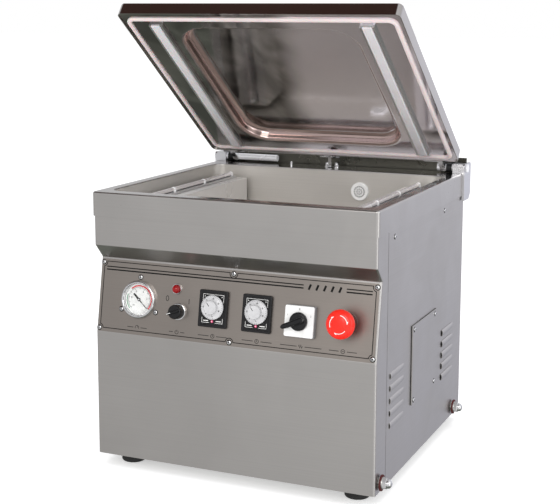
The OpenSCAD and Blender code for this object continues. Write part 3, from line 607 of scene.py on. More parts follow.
# ---------- casing ----------
# Where each device sits on the panel, from the joint of its moving piece
PANEL_PLACES = {
    "gauge": panel_place("gauge_pointer"),
    "power": panel_place("power_turn"),
    "vacuum_timer": panel_place("vacuum_time_turn"),
    "sealing_timer": panel_place("sealing_time_turn"),
    "selector": panel_place("selector_turn"),
    "estop": panel_place("estop_twist"),
}


def panel_cutter():
    """The holes behind the panel's devices, as one cutter."""
    back, front = -40, 12
    parts = [
        place(lathe("hole", [(0, back), (r, back), (r, front), (0, front)], "casing", 48), PANEL_PLACES[name])
        for name, r in (("gauge", 26.4), ("power", 11.4), ("estop", 12.4))
    ]
    for name, width, height, down in (("vacuum_timer", 44.6, 50.6, 2.5), ("sealing_timer", 44.6, 50.6, 2.5),
                                      ("selector", 40.6, 40.6, 0.0)):
        hole = box_mesh("hole", (-width / 2, -height / 2 - down, -60), (width / 2, height / 2 - down, front),
                        "casing", MM)
        parts.append(place(hole, PANEL_PLACES[name]))
    return join("cutter", parts)


def front_casing():
    """The bent front sheet: one profile in Y and Z, carried round both front corners."""
    plate_gap, brow_height, fold, bolt_hole = 2.6 * MM, 22.5 * MM, 3.5 * MM, 4.2 * MM
    bends = (4 * MM, 2.2 * MM, 2.2 * MM)
    tilt = atan2(PANEL_NORMAL.z, -PANEL_NORMAL.y)
    knob = PANEL_PLACES["power"].translation
    back = casing_high.y
    low_z = knob.z - (knob.y - FRONT) / tan(tilt)
    high_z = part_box("control_plate")[1].z + plate_gap
    setback = (high_z - low_z) * tan(tilt)
    brow_z = high_z + brow_height
    corners = [Vector((0, BOTTOM)), Vector((0, low_z)), Vector((setback, high_z)),
               Vector((0, brow_z)), Vector((0, casing_high.z))]
    profile = round_path(corners, bends)
    rows = []
    for inset, z in profile:
        y = FRONT + inset
        flat = [Vector((-HALF, back)), Vector((-HALF, y)), Vector((HALF, y)), Vector((HALF, back))]
        rows.append([Vector((*p, z)) for p in round_path(flat, (fold, fold))])
    made = skin("casing_sheet", rows, "casing", closed=False)
    thicken(made, SHEET)
    apply_modifiers(made)
    cut(made, panel_cutter())
    bolt_low, bolt_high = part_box("side_washers")
    bolt_z = (bolt_low.z + bolt_high.z) / 2
    bolt_y = bolt_low.y + (bolt_high.z - bolt_low.z) / 2
    cut(made, rod("cutter", bolt_hole, (0, bolt_y, bolt_z), (HALF + 0.01, bolt_y, bolt_z), "casing"))
    return piece(made, "base", ["front_casing"])


def deck():
    """The deck: one sheet with a folded edge all round and a turned-in edge at the chamber's mouth."""
    roll, inner_roll, corner, lip_depth = 3.2 * MM, 1.4 * MM, 5 * MM, 39 * MM
    slot_gap, slot_length, slot_half = 18 * MM, 28 * MM, 5 * MM
    lip = DECK - lip_depth

    def ring(inset, z, outer=True):
        if outer:
            a, b, r = deck_low, deck_high, corner
        else:
            a, b, r = tub_low + Vector([TUB_WALL] * 3), tub_high - Vector([TUB_WALL] * 3), TUB_CORNER
        return round_loop((a.x + inset, a.y + inset), (b.x - inset, b.y - inset),
                          max(0.8 * MM, r - inset), z, 8)

    def turned(radius, start, end, outer):
        """Loops of a rolled edge, from angle start to end; the inset grows towards the sheet."""
        rings = []
        for i in range(6):
            a = radians(start + (end - start) * i / 5)
            inset = radius * (1 - cos(a))
            rings.append(ring(inset if outer else -inset, DECK - radius * (1 - sin(a)), outer))
        return rings

    rows = [ring(0, lip), *turned(roll, 0, 90, True), *turned(inner_roll, 90, 0, False)]
    rows += [ring(0, DECK - TUB_WALL, False), ring(TUB_WALL, DECK - TUB_WALL), ring(TUB_WALL, lip)]
    rows.append([p.copy() for p in rows[0]])
    made = skin("deck_sheet", rows, "deck")
    lever_x = middle("spring_lever").x
    slot_y = tub_high.y + slot_gap
    cut(made, box_mesh("cutter", (lever_x - slot_half, slot_y, DECK - 0.01),
                       (lever_x + slot_half, slot_y + slot_length, DECK + 0.01), "deck"))
    made.data.materials.append(M["deck_top"])
    for face in made.data.polygons:
        if face.normal.z > 0.9:
            face.material_index = 1
    return piece(made, "base", ["deck_frame"])


def louver(y0, z0, length, height, out):
    """One pressed vent: a low bulge, open at its front end, that fades into the sheet behind."""
    rows = []
    steps, across = 24, 12
    fade_length = 38 * MM
    for i in range(steps + 1):
        u = i / steps
        fade = min(1.0, (1 - u) * length / fade_length)
        swell = sqrt(max(0.0, 1 - (1 - fade) ** 2))
        row = []
        for k in range(across + 1):
            v = k / across
            z = z0 + height * (0.5 + (v - 0.5) * (0.45 + 0.55 * swell))
            row.append(Vector((out * swell * sin(pi * v) ** 0.5, y0 + u * length, z)))
        rows.append(row)
    made = skin("louver", rows, "side", closed=False, smooth=60.0)
    thicken(made, 0.7 * MM)
    apply_modifiers(made, 60.0)
    return made


def side_panel(name, node, side):
    """A side sheet with two banks of pressed louvres; the right one has the service opening."""
    low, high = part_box(node)

    def through(y0, y1, z0, z1):
        return box_mesh("slot", (HALF - 0.01, y0, z0), (HALF + 0.01, y1, z1), "side")

    sheet = box_mesh("sheet", (HALF - SHEET, low.y, low.z), (HALF, high.y, high.z), "side")
    cutters = []
    hoods = []
    length, height, out = 70 * MM, 10.4 * MM, 1.9 * MM
    slot_length, margin = 36 * MM, 1.2 * MM
    first, pitch = BOTTOM + 84.5 * MM, 19.5 * MM
    for start in (FRONT + 64 * MM, FRONT + 342 * MM):
        for i in range(5):
            z = first + pitch * i
            cutters.append(through(start - 0.2 * MM, start + slot_length, z + margin, z + height - margin))
            hoods.append(place(louver(start, z, length, height, out), move(HALF, 0, 0)))
    if side > 0:
        at, opening = middle("cover_seal"), 24 * MM
        cutters.append(through(at.y - opening, at.y + opening, at.z - opening, at.z + opening))
    cut(sheet, join("cutter", cutters))
    bevel(sheet, 0.4 * MM, 2, 60)
    apply_modifiers(sheet)
    made = join(name, [sheet, *hoods])
    if side < 0:
        made.data.transform(Matrix.Scale(-1, 4, (1, 0, 0)))
        made.data.flip_normals()
    return piece(made, "base", [node])


# In mm: the thickness of the print, the screws' distance from the plate's ends and edges, the place of
# the middle ones, and the radius on which the gauge's three sit, all as in the CAD model
PRINT_H = 0.08
SCREW_X = 3.0
SCREW_Y = 5.5
MIDDLE_SCREW_X = -1.0
GAUGE_SCREWS_R = 35.5


def printed_border(half_x, half_y):
    """The printed border line, which steps inwards round each of the six screws."""
    reach = 6.6
    x, y = half_x - SCREW_X, half_y - SCREW_Y
    top, bottom, side = half_y - 3.9, 6 - half_y, half_x - 4.5
    high = degrees(asin((top - y) / reach))
    low = degrees(asin((bottom + y) / reach))
    edge = degrees(acos((x - side) / reach))
    turns = ((-x, y, -edge, high), (MIDDLE_SCREW_X, y, 180 - high, 360 + high),
             (x, y, 180 - high, 180 + edge), (x, -y, 180 - edge, 180 - low),
             (MIDDLE_SCREW_X, -y, low, 180 - low), (-x, -y, low, edge))
    path = []
    for *centre, start, end in turns:
        path += arc_path(reach, start, end, 10, centre)
    return stroke(path, 1.25, PLATE_T, PRINT_H, closed=True)


def pictograms():
    """Line drawings for the places of the labels, by name: each is a list of (path, closed)."""
    circle = (arc_path(3.0, 0, 345, 23), True)
    zigzag = line((-3.6, 0), (-2.6, 2.2), (-1.2, -2.2), (0.2, 2.2), (1.6, -2.2), (2.6, 0), (3.6, 0))
    return {
        "gauge": [(arc_path(3.2, -30, 210), False), (line((0, 0), (1.7, 1.9)), False)],
        "power": [(arc_path(2.9, 125, 415), False), (line((0, 0.4), (0, 3.6)), False)],
        "vacuum_timer": [circle, (line((0, 2.1), (0, 0), (1.4, 0)), False)],
        "sealing_timer": [circle, (line((0, 2.1), (0, 0), (-1.2, -1.0)), False)],
        "selector": [(zigzag, False)],
        "estop": [circle, (line((-1.7, 0), (1.7, 0)), False)],
    }


def control_plate_print():
    """The printed border, the double stripe with slanted bars in it, digits and pictograms."""
    centre, half_x, half_y = plate_frame()

    def printed(path, width, material="ink_black", closed=False):
        return stroke(path, width, PLATE_T, PRINT_H, material, closed)

    marks = [printed_border(half_x, half_y)]
    left, gap_start, gap_end, right = 9 - half_x, 115.5, 184.3, half_x - 10
    for down, width in ((12.1, 1.7), (16.7, 2.1)):
        for a, b in ((left, gap_start), (gap_end, right)):
            marks.append(printed(line((a, half_y - down), (b, half_y - down)), width))
    bars, margin, lean = 5, 10, Vector((1.6, 4.2))
    for i in range(bars):
        x = gap_start + margin + (gap_end - gap_start - 2 * margin) * i / (bars - 1)
        at = Vector((x, half_y - 14.4))
        marks.append(printed([at - lean, at + lean], 3.4))
    spans = {"gauge": (-181, -146), "power": (-106, -79), "vacuum_timer": (-55, -5),
             "sealing_timer": (20, 70), "selector": (84, 151), "estop": (163, 207)}
    gap = 6.5
    for name, drawing in pictograms().items():
        left, right = spans[name]
        at = Vector(((left + right) / 2, half_y - 104.5))
        for a, b in ((left, at.x - gap), (at.x + gap, right)):
            marks.append(printed(line((a, at.y), (b, at.y)), 1.1, "ink_grey"))
        for path, closed in drawing:
            marks.append(printed([p + at for p in path], 0.9, "ink_grey", closed))
    made = place(join("panel_print", marks), centre)
    digits = [numeral("0", 13, (-20.7, 18.7), PLATE_T, "ink_grey"),
              numeral("1", 12, (17.5, 16.8), PLATE_T, "ink_grey")]
    digits = place(join("digits", digits), PANEL_PLACES["power"])
    return piece(join("panel_print", [made, digits]), "base")


# ---------- screws ----------
def screw_head(radius, height):
    """A pan head with painted shade in its cross recess and a thin black disc of painted shadow round it,
    standing on z = 0.
    """
    outline = [(0, 0), (radius, 0)]
    outline += [(radius * cos(a) ** 0.6, height * (0.25 + 0.75 * sin(a)))
                for a in (radians(90 * i / 6) for i in range(6))]
    head = lathe("screw", [*outline, (0, height)], "chrome", 32)
    arms = [box_mesh("arm", (-a, -b, height * 0.35), (a, b, height * 1.5), "chrome", MM)
            for a, b in ((radius * 0.52, radius * 0.13), (radius * 0.13, radius * 0.52))]
    cut(head, join("cross", arms))
    # Painted shade: the faces inside the cross recess are coloured black.
    head.data.materials.append(M["ink_black"])
    for face in head.data.polygons:
        centre = face.center / MM
        if centre.xy.length < radius * 0.56 and 0.3 * height < centre.z < 0.9 * height:
            face.material_index = 1
    # Painted shadow: a thin black disc under the head stands in for the shade in the gap round it.
    gap = radius + 0.9
    ring = lathe("ring", [(0, 0), (gap, 0), (gap, 0.25), (0, 0.25)], "ink_black", 32)
    return join("screw", [head, ring])


def copies(source, matrices, name):
    """Copies of a mesh at each place, joined; the source goes."""
    made = []
    for matrix in matrices:
        one = bpy.data.objects.new(name, source.data.copy())
        bpy.context.scene.collection.objects.link(one)
        made.append(place(one, matrix))
    bpy.data.objects.remove(source)
    return join(name, made)


def screws():
    """All pan-head screws, on the panel, the sides, the cover and the back."""
    centre, half_x, half_y = plate_frame()
    places = []
    for x in (SCREW_X - half_x, MIDDLE_SCREW_X, half_x - SCREW_X):
        for y in (half_y - SCREW_Y, SCREW_Y - half_y):
            places.append(centre @ move(x * MM, y * MM, PLATE_T * MM) @ spin(37 * (x + y)))
    for a in (90, 210, 330):
        at = ray(a, GAUGE_SCREWS_R * MM)
        places.append(PANEL_PLACES["gauge"] @ move(*at, PLATE_T * MM) @ spin(a))
    cover_low, cover_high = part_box("access_cover")
    for y in (cover_low.y + 9 * MM, cover_high.y - 13 * MM):
        for z in (cover_low.z + 7 * MM, cover_high.z - 7 * MM):
            places.append(move(cover_high.x, y, z) @ spin(90, "Y"))
    for side in (-1, 1):
        for y in (FRONT + 78 * MM, FRONT + 346 * MM):
            places.append(move(side * HALF, y, DECK - 50.5 * MM) @ spin(90 * side, "Y"))
        for z in (BOTTOM + 30 * MM, BOTTOM + 360 * MM):
            places.append(move(side * 225 * MM, BACK, z) @ spin(-90, "X"))
    return piece(copies(screw_head(3.5, 1.8), places, "pan_screws"), "base", ["casing_screws"])


# ---------- gauge ----------
def gauge():
    """Bezel, dial card with its scale, pointer and glass."""
    at = PANEL_PLACES["gauge"]
    bezel = lathe("gauge_bezel", [
        (0, -34), (25.5, -34), (26, -33.5), (26, 1.3), (29.6, 1.3), (30, 1.8), (30, 5.4), (29.6, 6.6),
        (28.7, 7.6), (27.6, 8), (26.4, 7.8), (25.7, 7.0), (25.4, 5.8), (25.1, 0.1), (0, 0.1)],
        "chrome", 96, 30.0)
    piece(place(bezel, at), "base", ["gauge_case"])
    z, ink_h = 0.9, 0.05
    card = lathe("gauge_card", [(0, 0.2), (24.7, 0.2), (24.7, z), (0, z)], "dial", 72)
    pin = lathe("gauge_pin", [(0, z), (1.2, z), (1.2, 3.2), (0.9, 3.4), (0, 3.4)], "chrome", 24)
    marks = [stroke(arc_path(21.6, -40, 132, 60), 2.2, z, ink_h, "ink_red"),
             stroke(arc_path(21.6, 160, 222, 24), 1.3, z, ink_h, "ink_green"),
             stroke(arc_path(19.4, -45, 225, 90), 0.35, z, ink_h)]
    for i in range(51):
        near, width = (16.6, 0.5) if i % 5 == 0 else (17.9, 0.25)
        marks.append(spoke(-45 + 5.4 * i, near, 19.4, width, z, ink_h))
    marks += [numeral(str(2 * i), 4.2, ray(-45 + 54 * i, 13.6), z) for i in range(6)]
    piece(place(join("gauge_face", [card, pin, *marks]), at), "base", ["gauge_dial"])
    tip, pointer_z = -42, 1.9
    blade = spoke(tip, 6.5, 21, 0.8, pointer_z, 0.35)
    shank = spoke(tip, -2, 7, 1.4, pointer_z - 0.05, 0.45)
    tail = spoke(tip, -13, -2, 2.8, pointer_z - 0.1, 0.55)
    hub = lathe("hub", [(1.3, 1.25), (2.4, 1.25), (2.4, 2.6), (2.0, 2.95), (1.3, 2.95), (1.3, 1.25)],
                "ink_black", 32)
    pointer = place(join("gauge_pointer", [blade, shank, tail, hub]), at)
    piece(pointer, "gauge_needle", ["gauge_needle"])
    glass = lathe("gauge_window", [(0, 4.7), (25.2, 4.7), (25.2, 5.6), (18, 6.0), (9, 6.25), (0, 6.35)],
                  "glass", 72)
    glass.visible_shadow = False
    piece(place(glass, at), "base", ["gauge_glass"])


# ---------- lamp and power switch ----------
def pilot_lamp():
    base = middle("pilot_lens")
    down = (base - PANEL_PLACES["power"].translation).dot(PANEL_NORMAL)
    at = on_panel(middle("pilot_bezel").x, base - PANEL_NORMAL * down)
    ring = lathe("lamp_ring", [
        (0, -24), (5, -24), (5, 1.2), (8.3, 1.2), (8.5, 2.4), (8.4, 3.5), (7.9, 4.1), (7.2, 4.0), (6.9, 3.5),
        (6.9, 2.2), (0, 2.2)], "chrome", 48)
    piece(place(ring, at), "base", ["pilot_bezel"])
    dome = [(0, 2.3), (6.7, 2.3), (6.7, 4.6)]
    dome += [(6.6 * cos(a), 4.8 + 5.8 * sin(a)) for a in (radians(9 * i) for i in range(10))]
    cap = lathe("lamp_cap", [*dome, (0, 10.6)], "lamp", 48)
    piece(place(cap, at), "base", ["pilot_lens"])


def grip_bar(length_back, length_front, wide, narrow, z0, z1):
    """A knob's raised grip that tapers to a rounded nose along +X."""
    rows = []
    count = 14
    for i in range(count + 1):
        t = i / count
        x = -length_back + (length_back + length_front) * t
        half = (wide + (narrow - wide) * t) / 2
        nose = max(0.0, (t - 0.86) / 0.14)
        tail = max(0.0, (0.12 - t) / 0.12)
        half *= sqrt(max(0.02, 1 - nose ** 2)) * sqrt(max(0.02, 1 - tail ** 2))
        top = z1 - (z1 - z0) * 0.25 * t - (z1 - z0) * 0.3 * nose ** 2
        edge = min(half * 0.6, (top - z0) * 0.35)
        side = [(half, z0), (half, top - edge), (half - edge * 0.3, top - edge * 0.3), (half - edge, top)]
        section = side + [(-y, z) for y, z in reversed(side)]
        rows.append([Vector((x, y, z)) * MM for y, z in section])
    return skin("grip", rows, "knob", caps=(True, True), smooth=50.0)


def power_switch():
    at = PANEL_PLACES["power"]
    ring = lathe("power_ring", [
        (0, -32), (11, -32), (11, 1.2), (13.3, 1.2), (13.4, 2.6), (13.0, 3.6), (12.2, 4), (9.6, 4), (9.4, 3),
        (3, 3), (3, 13.8), (0, 14)], "chrome")
    piece(place(ring, at), "base", ["power_switch"])
    body = lathe("body", [
        (3.05, 4.5), (11.3, 4.5), (11.5, 4.9), (11.2, 13.8), (10.8, 15.6), (9.8, 16.6), (0, 17), (0, 14.6),
        (3.05, 14.6), (3.05, 4.5)], "knob")
    mark = stroke(line((5.5, 0), (12.4, 0)), 0.9, 18.2, 0.5, "ink_white")
    grip = place(join("grip", [grip_bar(9.5, 13.5, 5.5, 4.5, 14.4, 19.4), mark]), spin(200))
    piece(place(join("power_grip", [body, grip]), at), "power_knob", ["power_knob"])


# ---------- timers and selector switch ----------
def front_rows(half_x, half_y, down, profile, corner, pull, steps):
    """Loops round a device's front, in mm. profile lists (inset, height)."""
    rows = []
    for inset, z in profile:
        low = ((inset - half_x) * MM, (inset - half_y + down) * MM)
        high = ((half_x - inset) * MM, (half_y - inset + down) * MM)
        rows.append(round_loop(low, high, max(0.5, corner - inset * pull) * MM, z * MM, steps))
    return rows


def back_box(half_x, half_y, down, depth, radius):
    """A device's case behind the panel."""
    back = box_mesh("back", (-half_x, down - half_y, -depth), (half_x, half_y + down, PLATE_T), "black", MM)
    bevel(back, radius * MM)
    apply_modifiers(back)
    return back


def timer(prefix, case_node, dial_node):
    """A panel timer: black case, white frame lines, lamp with a white dot of painted highlight, and a silver
    dial with its scale.
    """
    at = PANEL_PLACES[case_node]
    down, half_h = -2.5, 28.75
    profile = ((0.0, 1.2), (0.0, 5.2), (0.35, 5.9), (1.0, 6.2), (3.2, 6.2), (3.7, 5.9), (3.9, 5.5))
    front = skin("front", front_rows(24.25, half_h, down, profile, 2.2, 0.5, 5), "black", caps=(True, True))
    back = back_box(22, 25, down, 28.8, 0.8)
    spindle = lathe("spindle", [(0, 5.4), (2.9, 5.4), (2.9, 12.8), (0, 13)], "zinc", 24)
    z, ink_h = 5.5, 0.05
    half, top, bottom = 17.5, half_h + down - 6.5, -half_h + down + 7.2
    lines = (
        (line((-half, top - 12), (-half, top), (half, top), (half, top - 12)), 0.55),
        (line((-half, bottom + 8), (-half, bottom), (-5, bottom)), 0.55),
        (line((5, bottom), (half, bottom), (half, bottom + 8)), 0.55),
        (line((-15, bottom + 3), (-6.5, bottom + 3)), 1.3),
        (line((6.5, bottom + 3), (15, bottom + 3)), 1.3),
    )
    marks = [stroke(path, width, z, ink_h, "ink_white") for path, width in lines]
    for x in (3 - half, half - 3):
        dot = lathe("dot", [(0, z), (0.8, z), (0.8, z + ink_h), (0, z + ink_h)], "ink_white", 16)
        marks.append(place(dot, move(x * MM, (top - 3.2) * MM, 0)))
    led = lathe("led", [(0, z), (1.9, z), (1.9, z + 0.5), (1.3, z + 1.1), (0, z + 1.35)], "led", 24)
    # Painted highlight: a white dot on the lamp's lens.
    painted_glint = lathe("painted_glint", [(0, z + 1.3), (0.75, z + 1.3), (0.6, z + 1.45), (0, z + 1.5)], "white", 16)
    lamp = [place(part, move(0, (bottom + 2.4) * MM, 0)) for part in (led, painted_glint)]
    case = place(join(prefix + "_case", [front, back, spindle, *marks, *lamp]), at)
    piece(case, "base", [case_node])

    skirt = lathe("skirt", [
        (3.05, 7.0), (18.4, 7.0), (18.8, 7.3), (18.8, 8.8), (18.4, 9.6), (17.5, 10.2), (12.2, 11.6),
        (11.4, 11.9), (0, 11.9), (0, 11.5), (3.05, 11.5), (3.05, 7.0)], "silver", 96)
    rows = []
    points, ribs = 144, 24
    for h, shrunk in ((11.7, 0.0), (12.2, 0.0), (16.2, 0.25), (16.8, 0.7), (17.0, 1.4)):
        row = []
        for a in (2 * pi * i / points for i in range(points)):
            r = 10.9 - shrunk + 0.28 * cos(ribs * a)
            row.append(Vector((r * cos(a), r * sin(a), h)) * MM)
        rows.append(row)
    knob = skin("knob", rows, "silver", caps=(True, True), smooth=50.0)
    marks = [stroke(line((0, 2.5), (0, 9.0)), 0.9, 17.0, 0.06)]
    for i in range(31):
        near, width = (15.3, 0.55) if i % 5 == 0 else (16.2, 0.3)
        marks.append(spoke(-60 + 10 * i, near, 17.8, width, 10.2, 0.25))
    marks += [numeral(str(5 * i), 3.1, ray(240 - 50 * i, 13.6), 11.25, height=0.3) for i in range(7)]
    dial = place(join(prefix + "_dial", [skirt, knob, *marks]), at @ spin(40))
    piece(dial, dial_node, [dial_node])


def selector():
    at = PANEL_PLACES["selector"]
    half = 24
    edge = skin("edge", front_rows(half, half, 0, ((0.0, 1.2), (0.0, 8.9), (0.25, 9.2)), 2.4, 0, 6),
                "grey", caps=(True, True))
    profile = ((0.9, 9.1), (0.6, 9.3), (0.6, 11.1), (0.9, 11.5), (1.5, 11.7))
    plate = skin("plate", front_rows(half, half, 0, profile, 2.6, 0, 6), "white", caps=(True, True))
    spindle = lathe("spindle", [(0, 11.6), (2.9, 11.6), (2.9, 15.3), (0, 15.5)], "zinc", 24)
    spots = (("0", (0, 18.6)), ("1", (18.6, 9)), ("1", (-18.6, 9)))
    marks = [numeral(text, 4.6, spot, 11.7) for text, spot in spots]
    body = place(join("selector_body", [edge, plate, back_box(20, 20, 0, 48.8, 1), spindle, *marks]), at)
    piece(body, "base", ["selector_switch"])
    base = lathe("base", [
        (3.05, 12.2), (14.0, 12.2), (14.2, 12.6), (14.1, 15.0), (13.6, 16.8), (12.6, 17.8), (11.0, 18.2),
        (0, 18.2), (0, 15.9), (3.05, 15.9), (3.05, 12.2)], "knob", 72)
    grip = place(grip_bar(12.5, 28, 9.5, 7.0, 15.5, 27.2), spin(203))
    handle = place(join("selector_lever", [base, grip]), at)
    piece(handle, "selector_handle", ["selector_handle"])


# ---------- emergency stop ----------
def emergency_stop():
    at = PANEL_PLACES["estop"]
    # The collar and stem use the red darkened with painted shade.
    ring = lathe("estop_ring", [
        (8.05, -30), (11.8, -30), (12, -29.6), (12, 1.2), (16.8, 1.2), (17, 1.6), (17, 4.6), (16.4, 6.0),
        (14.2, 11.4), (13.6, 12.0), (8.05, 12.0), (8.05, -30)], "collar", 72)
    piece(place(ring, at), "base", ["estop_collar"])
    stem = lathe("estop_stem", [
        (0, -12), (7.9, -12), (8, -11.6), (8, 21.8), (7.6, 22), (5, 22), (5, 30.9), (0, 31)], "collar", 48)
    piece(place(stem, at), "estop_plunger", ["estop_plunger"])
    cap = lathe("estop_mushroom", [
        (5.05, 22.5), (11, 22.5), (19.4, 23.6), (21.3, 24.6), (22, 26.2), (22, 29.4), (21.5, 31.4),
        (20.4, 33.6), (18.6, 35.2), (16.2, 36.4), (12.2, 37.3), (6.0, 37.9), (0, 38.0), (0, 31.6),
        (5.05, 31.6), (5.05, 22.5)], "red", 96, 50.0)
    arrows = []
    radius, z, height = 13.4, 36.55, 0.55
    for start in (20, 140, 260):
        arrows.append(stroke(arc_path(radius, start, start + 62, 18), 1.25, z, height, "ink_white"))
        side = ray(start - 3)
        tip = side * radius
        along = Vector((side.y, -side.x))
        corners = [tip - along * 1.2 + side * 2.2, tip + along * 2.9, tip - along * 1.2 - side * 2.2]
        verts = [Vector((*c, h)) * MM for h in (z, z + height) for c in corners]
        faces = [(2, 1, 0), (3, 4, 5), (0, 1, 4, 3), (1, 2, 5, 4), (2, 0, 3, 5)]
        arrows.append(make_object("head", verts, faces, "ink_white"))
    piece(place(join("estop_head", [cap, *arrows]), at), "estop_cap", ["estop_cap"])


# ---------- CAD nodes that keep their shape ----------
def soften(node, material, width=0.4, segments=2):
    """Gives a CAD node its material, and its sharp edges a small radius."""
    obj = frame["nodes"][node]
    for slot in obj.material_slots:
        slot.material = M[material]
    weld = obj.modifiers.new("weld", "WELD")
    weld.merge_threshold = 1e-6
    flat = obj.modifiers.new("flat", "DECIMATE")
    flat.decimate_type = "DISSOLVE"
    flat.angle_limit = radians(0.3)
    bevel(obj, width * MM, segments)
    weigh_normals(obj)


# ---------- vacuum chamber ----------
def grown(box, reach):
    """Low and high corner of a box in plan, with reach added all round."""
    low, high = box
    return (low.x - reach, low.y - reach), (high.x + reach, high.y + reach)


def chamber():
    """The welded tub: upright corners, a rounded foot to the walls, and holes for rods and port."""
    foot = 9 * MM
    tub = (tub_low, tub_high)
    floor_z = tub_low.z + TUB_WALL
    levels = (tub_high.z, (tub_high.z + floor_z) / 2, floor_z + foot)
    rows = [round_loop(*grown(tub, -TUB_WALL), TUB_CORNER, z, 8) for z in levels]
    for i in range(1, 7):
        a = radians(90 * i / 6)
        inset = foot * (1 - cos(a))
        rows.append(round_loop(*grown(tub, -TUB_WALL - inset), TUB_CORNER - inset,
                               floor_z + foot * (1 - sin(a)), 8))
    made = skin("chamber_shell", rows, "tub", caps=(False, True))
    made.data.flip_normals()
    thicken(made, TUB_WALL, 1.0 if made.data.polygons[-1].normal.z < 0 else -1.0)
    apply_modifiers(made)
    low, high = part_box("bar_cylinders")
    cylinder, hole, deep = 20 * MM, 6.1 * MM, 20 * MM
    cutters = [rod("hole", hole, (x, y, floor_z - deep), (x, y, floor_z + deep), "tub")
               for x in (low.x + cylinder, high.x - cylinder) for y in (low.y + cylinder, high.y - cylinder)]
    port, wall = middle("vacuum_strainer"), tub_high.y - TUB_WALL
    cutters.append(rod("hole", hole, (port.x, wall - deep, port.z), (port.x, wall + deep, port.z), "tub"))
    cut(made, join("cutter", cutters))
    piece(made, "base", ["chamber_tub"])


def heater(side, node, body):
    """A round heater rod on its bar, held in insulating collars."""
    low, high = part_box(node)
    x = (low.x + high.x) / 2
    radius, collar = 3.5 * MM, 4 * MM
    axis = high.z - radius
    rail = box_mesh("rail", (x - 2.4 * MM, low.y + 1 * MM, low.z),
                    (x + 2.4 * MM, high.y - 1 * MM, axis - 2 * MM), "black")
    made = [rod("rod", radius, (x, low.y + 0.5 * MM, axis), (x, high.y - 0.5 * MM, axis), "heater", 40), rail]
    first, last = low.y + collar, high.y - collar
    arch = [radians(180 * k / 18) for k in range(19)]
    for i in range(4):
        y = first + (last - first) * i / 3
        rows = []
        for along, inset in ((-1.0, 0.6), (-0.8, 0.0), (0.8, 0.0), (1.0, 0.6)):
            half = (4.4 - inset) * MM
            height = high.z + (0.8 - inset) * MM - low.z
            rows.append([Vector((x + half * cos(a), y + along * 2.6 * MM, low.z + height * sin(a) ** 0.62))
                         for a in arch])
        made.append(skin("collar", rows, "ptfe", caps=(True, True)))
    piece(join(side + "_heater_rod", made), body, [node])


def strainer():
    """The perforated cap over the vacuum port. Its holes are black discs of painted shade, just proud of its
    face, and are not cut through.
    """
    port = middle("vacuum_strainer")
    cap = lathe("strainer_cap", [
        (0, -9.8), (5.9, -9.8), (6, -9.5), (6, 0), (16.2, 0), (16.5, 0.4), (16.4, 3.6), (15.8, 4.6),
        (14.8, 5.0), (13.4, 5.0), (12.8, 4.6), (12.4, 4.4), (0, 4.4)], "ptfe", 72)
    # Painted shade: black discs stand in for the dark inside the holes.
    holes = []
    radius, low, high, pitch = 1.25, 3.4, 4.43, 4.6 * MM
    for ring in range(3):
        count = max(1, 8 * ring)
        for i in range(count):
            hole = lathe("hole", [(0, low), (radius, low), (radius, high), (0, high)], "ink_black", 16)
            holes.append(place(hole, move(*ray(360 * i / count, pitch * ring), 0)))
    at = move(port.x, tub_high.y - TUB_WALL, port.z) @ spin(90, "X")
    piece(place(join("strainer_cap", [cap, *holes]), at), "base", ["vacuum_strainer"])


def feet():
    low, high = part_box("feet")
    radius = 20 * MM
    foot = lathe("foot", [
        (0, 0), (15, 0), (17.2, 0.3), (18.6, 1.1), (19.7, 2.4), (20, 4), (19.5, 8), (18.4, 13), (17.4, 17),
        (16.6, 19.4), (15.8, 20), (4, 20), (4, 26), (3.6, 26.6), (0, 26.6)], "rubber")
    places = [move(x, y, 0) for x in (low.x + radius, high.x - radius)
              for y in (low.y + radius, high.y - radius)]
    piece(copies(foot, places, "rubber_feet"), "base", ["feet"])


def dome_nut(across, collar, dome, material="chrome"):
    """A cap nut standing on z = 0, in mm: six flats with a chamfer, and a round cap."""
    corner = across / sqrt(3)
    rows = [[Vector((*ray(60 * k, r), z)) * MM for k in range(6)]
            for z, r in ((0, corner * 0.95), (across * 0.05, corner),
                         (collar - across * 0.06, corner), (collar, corner * 0.93))]
    hexagon = skin("hexagon", rows, material, caps=(True, True), smooth=25.0)
    cap = across * 0.46
    outline = [(0, collar * 0.5), (cap, collar * 0.5), (cap, collar + dome * 0.25)]
    outline += [(cap * cos(a), collar + dome * (0.25 + 0.75 * sin(a)))
                for a in (radians(11.25 * k) for k in range(1, 8))]
    return join("dome_nut", [hexagon, lathe("cap", [*outline, (0, collar + dome)], material, 40)])


